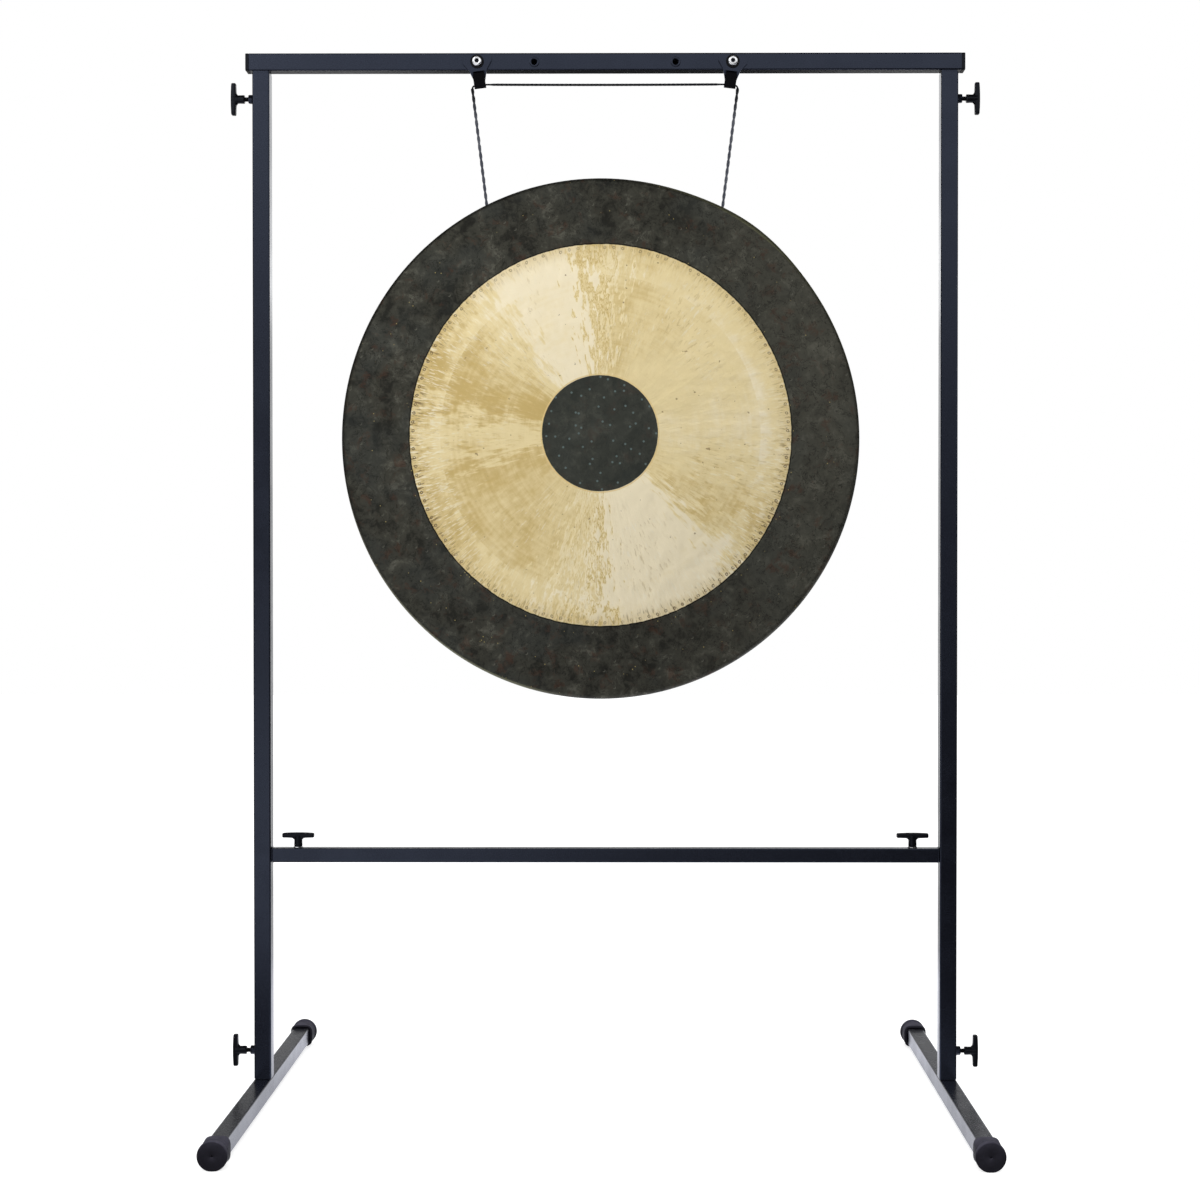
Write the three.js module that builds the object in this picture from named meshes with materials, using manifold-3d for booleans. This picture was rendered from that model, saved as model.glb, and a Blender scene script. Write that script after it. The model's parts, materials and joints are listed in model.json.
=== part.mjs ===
// A gong stand of square steel tube on two long feet, with a gong hung in it on a cord.
// Millimetres. +Z is up and the front faces -Y. The origin is on the floor, under the middle of the stand.
import * as THREE from "three";
import { mergeVertices } from "three/addons/utils/BufferGeometryUtils.js";
import Module from "manifold-3d";

// Overall sizes
const standWidth = 1230; // outer face to outer face of the uprights
const standHeight = 1831; // floor to the rail's top face
const footLength = 936; // over both rubber caps

// Square tubes
const tubeSide = 30;
const tubeWall = 2;
const tubeCorner = 2.5;
const barSide = 25;
const barCorner = 2;

// Fits
const seatGap = 0.3; // between pieces that touch, rest or are welded
const slipGap = 0.5; // each side of a stub inside its tube
const cutOver = 5; // how far a cutter runs past what it cuts

// Stubs that the tubes slide over, with the weld bead round their roots
const stubSide = tubeSide - 2 * (tubeWall + slipGap);
const barStubSide = barSide - 2 * (tubeWall + slipGap);
const stubLength = 78;
const barStubLength = 70;
const railSeam = 3.5; // rail's underside to the upright's top edge
const footSeam = 1.8; // foot's top face to the upright's lower edge
const barSeam = 3.2; // upright's inner face to the crossbar's end
const beadInset = 0.6; // the bead lies this far inside the tube's outline

// Rubber foot caps
const capRadius = 24;
const capFlat = 0.7; // depth of the flat that stands on the floor
const capLength = 46;
const capFloor = 8; // rubber between the tube's end and the sole
const capMouth = 21; // half the outer width at the mouth
const capNeck = 22.2; // radius just ahead of the sole's flange
const capFlange = 9; // thickness of the flange
const capEdge = 1.4; // rounding of the sole and the mouth
const dimpleRadius = 2.5;
const dimpleDepth = 1.5;
const capSwellShare = 0.45; // where, from mouth to neck, the square has half become round
const capSquareShares = { mouth: 3.8, swell: 3, neck: 2.2, round: 2 }; // power of each section's outline

// Rail end caps
const railCapFlange = 6;
const railCapPlug = 18;
const railCapEdge = 0.8;

// Clamp screws with moulded wing heads
const screwDiameter = 7.8;
const screwTip = 1;
const hubDiameter = 14.6;
const hubLength = 14;
const hubChamfer = 1.2;
const wingSpan = 55.5;
const wingRise = 10.2; // thickness of the wing at its middle
const wingTip = 8; // thickness of the wing at its tips
const wingBow = 1; // how far the tips lie behind the outer face's middle
const wingWidth = 12.5;
const wingEdge = 1.3;
const wingSquareShare = 4; // power of the wing's section: 2 is round, and more is squarer
const screwGrip = 10; // length of the screw moulded in the hub
const bareScrew = 7; // shank that shows between nut and hub
const clampRise = 48.6; // foot's top face to the lower clamp screws
const clampDrop = 47.2; // rail's underside to the upper clamp screws
const nutFlats = 14; // weld nut on the upright, across flats
const nutHeight = 8;
const nutWeld = 2.2; // height of the weld fillet round the nut
const nutWeldSpread = 1.6; // how far that fillet reaches past the nut's corners
const screwHole = 9.2; // clearance hole in a tube's wall
const innerNutFlats = 13; // nut inside the crossbar's stub, across flats
const innerNutHeight = 6.5;
const innerNutReach = 1; // screw end past that nut
const barClampInset = 46; // upright's inner face to the crossbar's clamp screw
const barWasher = 16.5;
const barWasherThickness = 1.6;

// Hangers on the rail
const hangerSpread = 222.5; // middle of the rail to a hanger's bolt
const spareSpread = 123; // middle of the rail to a spare insert
const insertDrop = 1; // inserts sit this far under the rail's centre line
const insertFlange = 17.5;
const insertFlangeThickness = 1.2;
const insertBody = 13;
const insertLength = 17;
const boltDiameter = 9.6;
const boltLength = 21;
const boltHead = 17.5;
const boltHeadHeight = 5.5;
const boltSocket = 6; // across flats
const boltSocketDepth = 3;
const boltCrownShares = [
  [1, 0.2],
  [0.86, 0.62],
  [0.56, 1],
]; // of the head's radius and height, from its rim to its flat top
const washerDiameter = 23.5;
const washerThickness = 1.6;
const hangerTurn = THREE.MathUtils.degToRad(7); // each hook leans toward the middle

// Hanger plate: heights are measured down from its bolt, as the plate hangs
const plateThickness = 2;
const plateWidth = 50;
const plateTop = 11; // above the bolt
const plateCorner = 5;
const shoulderDrop = 1; // where the sides start to narrow
const waistDrop = 14;
const waistWidth = 32;
const bendDrop = 16.3; // where the plate bends back under the rail
const neckDrop = 26;
const neckWidth = 23;
const hookWidth = 18.8;
const hookWidthDrop = 34;
const hookDrop = 39.4; // bolt to the centre of the hook's bend
const hookRadius = 5; // of the bend's middle line
const hookSetForward = 13.5; // the hook's centre, ahead of the rail's centre plane
const lipDrop = 21.5; // top of the lip
const lipLean = 5; // how far the lip's top stands ahead of its root
const lipCorner = 6;
const sleeveWall = 0.5;
const sleeveFit = 0.2;

// Gong
const gongRadius = 454;
const gongThickness = 3;
const gongDome = 20; // the middle of the face stands this far ahead of its edge
const gongRim = 55; // depth of the turned-back rim
const gongShoulder = 10; // radius between face and rim
const gongTaper = THREE.MathUtils.degToRad(8); // the rim closes in toward its back edge
const gongDrop = 656; // rail's centre line to the middle of the gong
const gongClearance = 262.4; // gong's radius down to the crossbar's top face
const gongOffset = 8; // the gong hangs this far left of the middle
const gongTurn = THREE.MathUtils.degToRad(0.99); // its cord holes stand a little to the right
const gongOvalShare = 0.0025; // higher than it is wide, by hand work
const gongBulge = 4.5; // one flat hammered swell in the outline
const gongBulgeAt = THREE.MathUtils.degToRad(55);
const gongBulgeSpread = THREE.MathUtils.degToRad(12);
const holeSpread = 206; // middle of the gong to a cord hole
const holeDepth = 14; // the holes lie this far behind the face's edge
const holeSlack = 1; // round the cord in its hole

// Cord
const cordDiameter = 3.3;
const fallDiameter = 5.6; // two plies laid together
const knotDiameter = 15;
const cordPast = 1.2; // the cord runs straight this far past each edge of a hook
const cordTurnOut = 4; // and turns down this far past the outer edge
const cordTurnDown = 4.5;

// Facets
const mergeWithin = 1e-4; // corners closer than this are one
const roundSteps = 20;
const boreSteps = 12; // round a small screw or bore
const gongSteps = 64;
const faceSteps = 6;
const shoulderSteps = 3;
const cordSteps = 8;
const capSteps = 24;
const wingSteps = 12;
const cornerSteps = 2;
const bendSteps = 8;

// Levels that follow from those sizes
const footAxis = capRadius - capFlat;
const footTop = footAxis + tubeSide / 2;
const railBottom = standHeight - tubeSide;
const railAxis = standHeight - tubeSide / 2;
const gongLevel = railAxis - gongDrop;
const barTop = gongLevel - gongRadius - gongClearance;
const insertLevel = railAxis - insertDrop;
const uprightBottom = footTop + footSeam;
const uprightTop = railBottom - railSeam;
const uprightAxis = standWidth / 2 - tubeSide / 2;
const uprightInner = standWidth / 2 - tubeSide;
const railHalf = standWidth / 2 + railCapFlange; // the rail overhangs the uprights by one flange
const barAxis = barTop - barSide / 2;
const hookPlane = -hookSetForward;

const wasm = await Module();
wasm.setup();

// Solids and geometries

function solid(geometry) {
  const bare = geometry.index ? geometry.toNonIndexed() : geometry.clone();
  bare.deleteAttribute("normal");
  bare.deleteAttribute("uv");
  const merged = mergeVertices(bare, mergeWithin);
  return new wasm.Manifold(
    new wasm.Mesh({
      numProp: 3,
      vertProperties: new Float32Array(merged.attributes.position.array),
      triVerts: new Uint32Array(merged.index.array),
    }),
  );
}

function geometryOf(body) {
  const mesh = body.getMesh();
  const geometry = new THREE.BufferGeometry();
  geometry.setAttribute("position", new THREE.BufferAttribute(mesh.vertProperties, 3));
  geometry.setIndex(new THREE.BufferAttribute(mesh.triVerts, 1));
  return geometry;
}

function joined(...geometries) {
  return geometryOf(geometries.map(solid).reduce((sum, next) => sum.add(next)));
}

function cut(geometry, ...cutters) {
  return geometryOf(cutters.map(solid).reduce((rest, next) => rest.subtract(next), solid(geometry)));
}

function common(a, b) {
  return geometryOf(solid(a).intersect(solid(b)));
}

// Basic shapes, each standing on z = 0 unless it is moved

function roundedSquare(side, corner) {
  const shape = new THREE.Shape();
  const reach = side / 2 - corner;
  shape.absarc(reach, reach, corner, 0, Math.PI / 2);
  shape.absarc(-reach, reach, corner, Math.PI / 2, Math.PI);
  shape.absarc(-reach, -reach, corner, Math.PI, 1.5 * Math.PI);
  shape.absarc(reach, -reach, corner, 1.5 * Math.PI, 2 * Math.PI);
  return shape;
}

function extruded(shape, depth) {
  return new THREE.ExtrudeGeometry(shape, { depth, bevelEnabled: false, curveSegments: cornerSteps });
}

function squareTube(side, corner, length) {
  const shape = roundedSquare(side, corner);
  shape.holes.push(roundedSquare(side - 2 * tubeWall, corner / 2));
  return extruded(shape, length);
}

function rod(diameter, length, steps) {
  const geometry = new THREE.CylinderGeometry(diameter / 2, diameter / 2, length, steps);
  return geometry.rotateX(Math.PI / 2).translate(0, 0, length / 2);
}

// A solid of revolution about Z from [radius, height] pairs, listed so that the material lies on their left.
function turned(profile, steps) {
  const points = profile.map(([radius, height]) => new THREE.Vector2(radius, height));
  return new THREE.LatheGeometry(points, steps).rotateX(Math.PI / 2);
}

function ring(outer, inner, height, steps) {
  return turned(
    [
      [inner / 2, 0],
      [outer / 2, 0],
      [outer / 2, height],
      [inner / 2, height],
      [inner / 2, 0],
    ],
    steps,
  );
}

function hexagon(flats, height) {
  return new THREE.CylinderGeometry(flats / Math.sqrt(3), flats / Math.sqrt(3), height, 6)
    .rotateX(Math.PI / 2)
    .translate(0, 0, height / 2);
}

// A closed solid through rings of points, all of one count and direction.
function lofted(rings) {
  const count = rings[0].length;
  const positions = rings.flat().flatMap((point) => [point.x, point.y, point.z]);
  const index = [];
  for (let i = 0; i + 1 < rings.length; i++)
    for (let j = 0; j < count; j++) {
      const a = i * count + j;
      const b = i * count + ((j + 1) % count);
      index.push(a, b, b + count, a, b + count, a + count);
    }
  const last = (rings.length - 1) * count;
  for (let j = 1; j + 1 < count; j++) {
    index.push(0, j + 1, j);
    index.push(last, last + j, last + j + 1);
  }
  const geometry = new THREE.BufferGeometry();
  geometry.setAttribute("position", new THREE.Float32BufferAttribute(positions, 3));
  geometry.setIndex(index);
  return geometry;
}

// Distance from the middle to a squared-off circle's edge: power 2 is round, and more is squarer.
function squaredRadius(angle, halfX, halfY, power) {
  const across = Math.abs(Math.cos(angle) / halfX) ** power;
  const up = Math.abs(Math.sin(angle) / halfY) ** power;
  return (across + up) ** (-1 / power);
}

// Finishes

const finishes = {
  powderCoat: { color: 0x30323a, roughness: 0.55, metalness: 0.2 },
  rubber: { color: 0x24242a, roughness: 0.75, metalness: 0 },
  plastic: { color: 0x17171c, roughness: 0.5, metalness: 0 },
  zinc: { color: 0xc9ccd0, roughness: 0.3, metalness: 1 },
  blackSteel: { color: 0x101014, roughness: 0.4, metalness: 0.6 },
  brass: { color: 0xcdb887, roughness: 0.45, metalness: 0.9 },
  cord: { color: 0x25262b, roughness: 0.9, metalness: 0 },
};

function addPiece(group, name, geometry, finish) {
  const mesh = new THREE.Mesh(geometry, new THREE.MeshStandardMaterial(finishes[finish]));
  mesh.name = name;
  group.add(mesh);
  return mesh;
}

function addGroup(parent) {
  const group = new THREE.Group();
  parent.add(group);
  return group;
}

const stand = new THREE.Group();
const sides = [
  { side: "left", sign: -1 },
  { side: "right", sign: 1 },
];

// Stubs: the root with its weld bead stands on z = 0

function stub(side, corner, length, seam, tube) {
  const bead = roundedSquare(tube - 2 * beadInset, corner);
  bead.holes.push(roundedSquare(side - 2 * tubeWall, corner / 2));
  return joined(squareTube(side, corner, length), extruded(bead, seam - 2 * seatGap));
}

// Feet

function footCap() {
  // Each station: distance from the mouth, half width, and how square the section is
  const { mouth, swell, neck, round } = capSquareShares;
  const neckAt = capLength - capFlange;
  const stations = [
    [0, capMouth - capEdge / 2, mouth],
    [capEdge, capMouth, mouth],
    [neckAt * capSwellShare, (capMouth + capNeck) / 2, swell],
    [neckAt, capNeck, neck],
    [neckAt + capEdge, capRadius, round],
    [capLength - capEdge, capRadius, round],
    [capLength, capRadius - capEdge, round],
  ];
  const body = lofted(
    stations.map(([along, half, power]) =>
      Array.from({ length: capSteps }, (_, k) => {
        const angle = (2 * Math.PI * k) / capSteps;
        const radius = squaredRadius(angle, half, half, power);
        return new THREE.Vector3(radius * Math.cos(angle), radius * Math.sin(angle), along);
      }),
    ),
  );
  const socketDepth = capLength - capFloor + seatGap;
  const socket = extruded(roundedSquare(tubeSide + 2 * seatGap, tubeCorner), socketDepth + cutOver);
  socket.translate(0, 0, -cutOver);
  const dimple = turned(
    [
      [0, capLength - dimpleDepth],
      [dimpleRadius, capLength],
      [dimpleRadius, capLength + cutOver],
      [0, capLength + cutOver],
    ],
    boreSteps / 2,
  );
  // The flat lies on the -Y side, which a foot turns to the floor
  const flat = new THREE.BoxGeometry(2 * capRadius, capRadius, capLength + 2 * cutOver);
  flat.translate(0, -footAxis - capRadius / 2, capLength / 2);
  return cut(body, socket, dimple, flat);
}

function addFoot({ side, sign }) {
  const foot = addGroup(stand);
  foot.position.set(sign * uprightAxis, 0, footAxis);
  const length = footLength - 2 * capFloor;
  const tube = squareTube(tubeSide, tubeCorner, length);
  tube.translate(0, 0, -length / 2).rotateX(-Math.PI / 2);
  addPiece(foot, side + "_foot_tube", tube, "powderCoat");
  const post = stub(stubSide, tubeCorner, stubLength, footSeam, tubeSide);
  const root = addPiece(foot, side + "_foot_stub", post, "powderCoat");
  root.position.z = tubeSide / 2 + seatGap;
  const front = addPiece(foot, side + "_front_foot_cap", footCap(), "rubber");
  front.rotation.set(Math.PI / 2, 0, 0);
  front.position.y = -(footLength / 2 - capLength);
  const rear = addPiece(foot, side + "_rear_foot_cap", footCap(), "rubber");
  rear.rotation.set(Math.PI / 2, Math.PI, 0);
  rear.position.y = footLength / 2 - capLength;
}

// Uprights with the nuts that are welded on them

const clampLevels = [
  { level: "lower", height: footTop + clampRise, nutTurn: 0 },
  { level: "upper", height: railBottom - clampDrop, nutTurn: Math.PI / 6 },
];

function addUpright({ side, sign }) {
  const length = uprightTop - uprightBottom;
  const tube = squareTube(tubeSide, tubeCorner, length).translate(0, 0, uprightBottom);
  const holes = clampLevels.map(({ height }) =>
    rod(screwHole, tubeSide, boreSteps)
      .rotateY((sign * Math.PI) / 2)
      .translate(0, 0, height),
  );
  const upright = addPiece(stand, side + "_upright", cut(tube, ...holes), "powderCoat");
  upright.position.x = sign * uprightAxis;
}

// Crossbar on its two stubs

const barClampAt = uprightInner - barClampInset;
const barStubTop = barTop - tubeWall - slipGap;

function addCrossbar() {
  const length = 2 * (uprightInner - barSeam);
  const tube = squareTube(barSide, barCorner, length).translate(0, 0, -length / 2);
  tube.rotateY(Math.PI / 2).translate(0, 0, barAxis);
  const holes = sides.map(({ sign }) =>
    rod(screwHole, barSide / 2 + cutOver, boreSteps).translate(sign * barClampAt, 0, barAxis),
  );
  addPiece(stand, "crossbar", cut(tube, ...holes), "powderCoat");
}

function addCrossbarStub({ side, sign }) {
  const root = stub(barStubSide, barCorner, barStubLength, barSeam, barSide);
  root.rotateY((-sign * Math.PI) / 2);
  const hole = rod(screwHole, barStubSide, boreSteps).translate(-sign * (barClampInset - seatGap), 0, 0);
  const piece = addPiece(stand, side + "_crossbar_stub", cut(root, hole), "powderCoat");
  piece.position.set(sign * (uprightInner - seatGap), 0, barAxis);
  const nut = cut(
    hexagon(innerNutFlats, innerNutHeight),
    rod(screwDiameter + 2 * seatGap, innerNutHeight + 2 * cutOver, boreSteps).translate(0, 0, -cutOver),
  );
  const held = addPiece(stand, side + "_crossbar_stub_nut", nut, "zinc");
  held.position.set(sign * barClampAt, 0, barStubTop - tubeWall - seatGap - innerNutHeight);
}

// Clamp screws: z = 0 is the face that the screw goes in through, and +Z points out of it

function weldNut() {
  const corner = nutFlats / Math.sqrt(3);
  const fillet = turned(
    [
      [0, 0],
      [corner + nutWeldSpread, 0],
      [corner, nutWeld],
      [0, nutWeld],
    ],
    boreSteps,
  );
  const bore = rod(screwDiameter + 2 * seatGap, nutHeight + 2 * cutOver, boreSteps);
  return cut(joined(hexagon(nutFlats, nutHeight), fillet), bore.translate(0, 0, -cutOver));
}

function screw(length) {
  return turned(
    [
      [0, 0],
      [screwDiameter / 2 - screwTip, 0],
      [screwDiameter / 2, screwTip],
      [screwDiameter / 2, length],
      [0, length],
    ],
    boreSteps,
  );
}

function wingHead() {
  const hub = turned(
    [
      [0, 0],
      [hubDiameter / 2 - hubChamfer, 0],
      [hubDiameter / 2, hubChamfer],
      [hubDiameter / 2, hubLength + wingRise / 2],
      [0, hubLength + wingRise / 2],
    ],
    roundSteps,
  );
  // Each station along the wing: share of the half span, and how far its edges are drawn in
  const stationShares = [
    [-1, 1],
    [-0.96, 0],
    [-0.5, 0],
    [0, 0],
    [0.5, 0],
    [0.96, 0],
    [1, 1],
  ];
  const wing = lofted(
    stationShares.map(([along, drawn]) => {
      const toTip = Math.abs(along);
      const thickness = THREE.MathUtils.lerp(wingRise, wingTip, toTip) - 2 * drawn * wingEdge;
      const width = wingWidth - 2 * drawn * wingEdge;
      const outerFace = hubLength + wingRise - wingBow * toTip * toTip - drawn * wingEdge;
      return Array.from({ length: wingSteps }, (_, k) => {
        const angle = (2 * Math.PI * (k + 0.5)) / wingSteps;
        const radius = squaredRadius(angle, width / 2, thickness / 2, wingSquareShare);
        const across = radius * Math.cos(angle);
        const up = radius * Math.sin(angle);
        return new THREE.Vector3((along * wingSpan) / 2, across, outerFace - thickness / 2 + up);
      });
    }),
  );
  const socket = rod(screwDiameter + 2 * seatGap, screwGrip + seatGap + cutOver, boreSteps);
  return cut(joined(hub, wing), socket.translate(0, 0, -cutOver));
}

function addClamp(group, name, hubAt, screwEnd) {
  const shank = addPiece(group, name + "_clamp_screw", screw(hubAt + screwGrip - screwEnd), "blackSteel");
  shank.position.z = screwEnd;
  const head = addPiece(group, name + "_wing_head", wingHead(), "plastic");
  head.position.z = hubAt;
}

function addSideClamp({ side, sign }, { level, height, nutTurn }) {
  const place = addGroup(stand);
  place.position.set((sign * standWidth) / 2, 0, height);
  place.rotation.y = (sign * Math.PI) / 2;
  const name = side + "_" + level;
  const nut = addPiece(place, name + "_weld_nut", weldNut(), "powderCoat");
  nut.position.z = seatGap;
  nut.rotation.z = nutTurn;
  const stubFace = -tubeWall - slipGap;
  addClamp(place, name, seatGap + nutHeight + bareScrew, stubFace + seatGap);
}

function addBarClamp({ side, sign }) {
  const place = addGroup(stand);
  place.position.set(sign * barClampAt, 0, barTop);
  const washer = ring(barWasher, screwDiameter + 2 * seatGap, barWasherThickness, roundSteps);
  addPiece(place, side + "_crossbar_washer", washer, "zinc").position.z = seatGap;
  const nutBottom = barStubTop - tubeWall - seatGap - innerNutHeight - barTop;
  addClamp(place, side + "_crossbar", 2 * seatGap + barWasherThickness, nutBottom - innerNutReach);
}

// Top rail

const railLength = 2 * (railHalf - seatGap);

function addRail() {
  const tube = squareTube(tubeSide, tubeCorner, railLength).translate(0, 0, -railLength / 2);
  tube.rotateY(Math.PI / 2).translate(0, 0, railAxis);
  const holes = [-hangerSpread, -spareSpread, spareSpread, hangerSpread].map((x) =>
    rod(insertBody + 2 * seatGap, tubeSide, boreSteps)
      .rotateX(Math.PI / 2)
      .translate(x, 0, insertLevel),
  );
  addPiece(stand, "top_rail", cut(tube, ...holes), "powderCoat");
}

function addRailEnd({ side, sign }) {
  const flangeDepth = railCapFlange - 2 * railCapEdge;
  const outline = roundedSquare(tubeSide - 2 * railCapEdge, tubeCorner - railCapEdge);
  const flange = new THREE.ExtrudeGeometry(outline, {
    depth: flangeDepth,
    bevelThickness: railCapEdge,
    bevelSize: railCapEdge,
    bevelSegments: 2,
    curveSegments: cornerSteps,
  }).translate(0, 0, railCapEdge);
  const plugSide = tubeSide - 2 * (tubeWall + seatGap);
  const plug = extruded(roundedSquare(plugSide, tubeCorner / 2), railCapPlug + railCapEdge);
  plug.translate(0, 0, -railCapPlug);
  const cap = addPiece(stand, side + "_rail_end_cap", joined(flange, plug), "plastic");
  cap.rotation.y = (sign * Math.PI) / 2;
  cap.position.set(sign * railHalf, 0, railAxis);
  const root = stub(stubSide, tubeCorner, stubLength, railSeam, tubeSide).rotateX(Math.PI);
  const piece = addPiece(stand, side + "_rail_stub", root, "powderCoat");
  piece.position.set(sign * uprightAxis, 0, railBottom - seatGap);
}

// Threaded inserts, washers and bolts: z = 0 is the rail's front face, and +Z points out of it

function facing(x) {
  const place = addGroup(stand);
  place.position.set(x, -tubeSide / 2, insertLevel);
  place.rotation.x = Math.PI / 2;
  return place;
}

function insert() {
  const flangeOuter = seatGap + insertFlangeThickness;
  const bore = boltDiameter / 2 + seatGap;
  return turned(
    [
      [bore, flangeOuter - insertLength],
      [insertBody / 2, flangeOuter - insertLength],
      [insertBody / 2, seatGap],
      [insertFlange / 2, seatGap],
      [insertFlange / 2, flangeOuter],
      [bore, flangeOuter],
      [bore, flangeOuter - insertLength],
    ],
    roundSteps,
  );
}

const plateBack = 2 * seatGap + insertFlangeThickness; // ahead of the rail's face
const washerBack = plateBack + plateThickness + seatGap;
const headBack = washerBack + washerThickness + seatGap;

function bolt() {
  const body = turned(
    [
      [0, -boltLength],
      [boltDiameter / 2, -boltLength],
      [boltDiameter / 2, 0],
      [boltHead / 2, 0],
      ...boltCrownShares.map(([radius, height]) => [(radius * boltHead) / 2, height * boltHeadHeight]),
      [0, boltHeadHeight],
    ],
    roundSteps,
  );
  const socket = hexagon(boltSocket, boltSocketDepth + cutOver);
  return cut(body, socket.translate(0, 0, boltHeadHeight - boltSocketDepth));
}

// Hanger plates: x runs across, y is the depth in the stand, and z = 0 is the bolt

// A strip of even thickness along a middle line of [y, z] points, as wide as is asked.
function strip(line, thickness, width) {
  const edge = (away) =>
    line.map(([y, z], i) => {
      const before = line[Math.max(i - 1, 0)];
      const after = line[Math.min(i + 1, line.length - 1)];
      const into = new THREE.Vector2(y - before[0], z - before[1]).normalize();
      const out = new THREE.Vector2(after[0] - y, after[1] - z).normalize();
      const normal = new THREE.Vector2(-into.y - out.y, into.x + out.x).normalize();
      const along = i === 0 ? out : into;
      const reach = (away * thickness) / 2 / Math.abs(normal.dot(new THREE.Vector2(-along.y, along.x)));
      return new THREE.Vector2(y + normal.x * reach, z + normal.y * reach);
    });
  const shape = new THREE.Shape([...edge(1), ...edge(-1).reverse()]);
  // Shape x is depth, shape y is height, and the extrusion runs across
  const across = new THREE.Matrix4().makeBasis(
    new THREE.Vector3(0, 1, 0),
    new THREE.Vector3(0, 0, 1),
    new THREE.Vector3(1, 0, 0),
  );
  return extruded(shape, width)
    .translate(0, 0, -width / 2)
    .applyMatrix4(across);
}

// An outline of [x, z] points as a slab along the whole depth.
function slab(shape) {
  const depth = 2 * (hookSetForward + tubeSide);
  return extruded(shape, depth)
    .translate(0, 0, -depth / 2)
    .rotateX(Math.PI / 2);
}

function lipOutline(width, top, corner) {
  const shape = new THREE.Shape();
  const half = width / 2;
  const bottom = -hookDrop - hookRadius - plateThickness - cutOver;
  shape.moveTo(-half, bottom);
  shape.lineTo(half, bottom);
  shape.absarc(half - corner, top - corner, corner, 0, Math.PI / 2);
  shape.absarc(-half + corner, top - corner, corner, Math.PI / 2, Math.PI);
  return shape;
}

function plateOutline() {
  const shape = new THREE.Shape();
  const half = plateWidth / 2;
  const bottom = -hookDrop - hookRadius - plateThickness - cutOver;
  shape.moveTo(-hookWidth / 2, bottom);
  shape.lineTo(hookWidth / 2, bottom);
  shape.lineTo(hookWidth / 2, -hookWidthDrop);
  shape.lineTo(neckWidth / 2, -neckDrop);
  shape.lineTo(waistWidth / 2, -waistDrop);
  shape.lineTo(half, -shoulderDrop);
  shape.absarc(half - plateCorner, plateTop - plateCorner, plateCorner, 0, Math.PI / 2);
  shape.absarc(-half + plateCorner, plateTop - plateCorner, plateCorner, Math.PI / 2, Math.PI);
  shape.lineTo(-half, -shoulderDrop);
  shape.lineTo(-waistWidth / 2, -waistDrop);
  shape.lineTo(-neckWidth / 2, -neckDrop);
  shape.lineTo(-hookWidth / 2, -hookWidthDrop);
  return shape;
}

// Middle line of the hook's bend, from behind, under the cord, to the lip's root in front.
const bendLine = Array.from({ length: bendSteps + 1 }, (_, i) => {
  const angle = (-Math.PI * i) / bendSteps;
  return [hookPlane + hookRadius * Math.cos(angle), -hookDrop + hookRadius * Math.sin(angle)];
});

function lipEnd(over) {
  const root = new THREE.Vector2(hookPlane - hookRadius, -hookDrop);
  const top = new THREE.Vector2(hookPlane - hookRadius - lipLean, -lipDrop);
  const end = top.clone().add(top.clone().sub(root).setLength(over));
  return [end.x, end.y];
}

function hangerPlate() {
  const plateMiddle = -tubeSide / 2 - plateBack - plateThickness / 2;
  const tongueMiddle = hookPlane + hookRadius;
  const bendBack = tongueMiddle - plateMiddle; // the plate bends back at 45 degrees
  const back = [
    [plateMiddle, plateTop],
    [plateMiddle, -bendDrop],
    [tongueMiddle, -bendDrop - bendBack],
    ...bendLine,
  ];
  const lip = [bendLine[bendSteps - 1], bendLine[bendSteps], lipEnd(0)];
  const plate = common(strip(back, plateThickness, plateWidth), slab(plateOutline()));
  const front = common(
    strip(lip, plateThickness, hookWidth),
    slab(lipOutline(hookWidth, -lipDrop + plateThickness, lipCorner)),
  );
  const boltHole = rod(boltDiameter + 2 * seatGap, tubeSide, boreSteps).rotateX(Math.PI / 2);
  return cut(joined(plate, front), boltHole.translate(0, plateMiddle + tubeSide / 2, 0));
}

function hookSleeve() {
  const layer = (spread, over) => {
    const line = [...bendLine, lipEnd(over)];
    const width = hookWidth + 2 * spread;
    const top = -lipDrop + plateThickness + over;
    return common(
      strip(line, plateThickness + 2 * spread, width),
      slab(lipOutline(width, top, lipCorner + spread)),
    );
  };
  // The cutter also runs on behind the bend, so the sleeve is open where it was pushed on
  const tongue = [
    [bendLine[0][0], bendLine[0][1] + cutOver],
    [bendLine[0][0], bendLine[0][1] - sleeveWall],
  ];
  return cut(
    layer(sleeveFit + sleeveWall, sleeveFit + sleeveWall),
    layer(sleeveFit, sleeveFit),
    strip(tongue, plateThickness + 2 * sleeveFit, hookWidth + 2 * sleeveFit),
  );
}

function addHanger({ side, sign }) {
  const place = addGroup(stand);
  place.position.set(sign * hangerSpread, 0, insertLevel);
  place.rotation.y = sign * hangerTurn;
  addPiece(place, side + "_hanger_hook", hangerPlate(), "powderCoat");
  addPiece(place, side + "_hook_sleeve", hookSleeve(), "rubber");
  const front = facing(sign * hangerSpread);
  const washer = ring(washerDiameter, boltDiameter + 2 * seatGap, washerThickness, roundSteps);
  addPiece(front, side + "_hanger_washer", washer, "blackSteel").position.z = washerBack;
  addPiece(front, side + "_hanger_bolt", bolt(), "zinc").position.z = headBack;
  addPiece(front, side + "_hanger_insert", insert(), "powderCoat");
  addPiece(facing(sign * spareSpread), side + "_spare_insert", insert(), "powderCoat");
}

// Gong: y = 0 is the plane of its face's edge, and the face swells toward -Y

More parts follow.
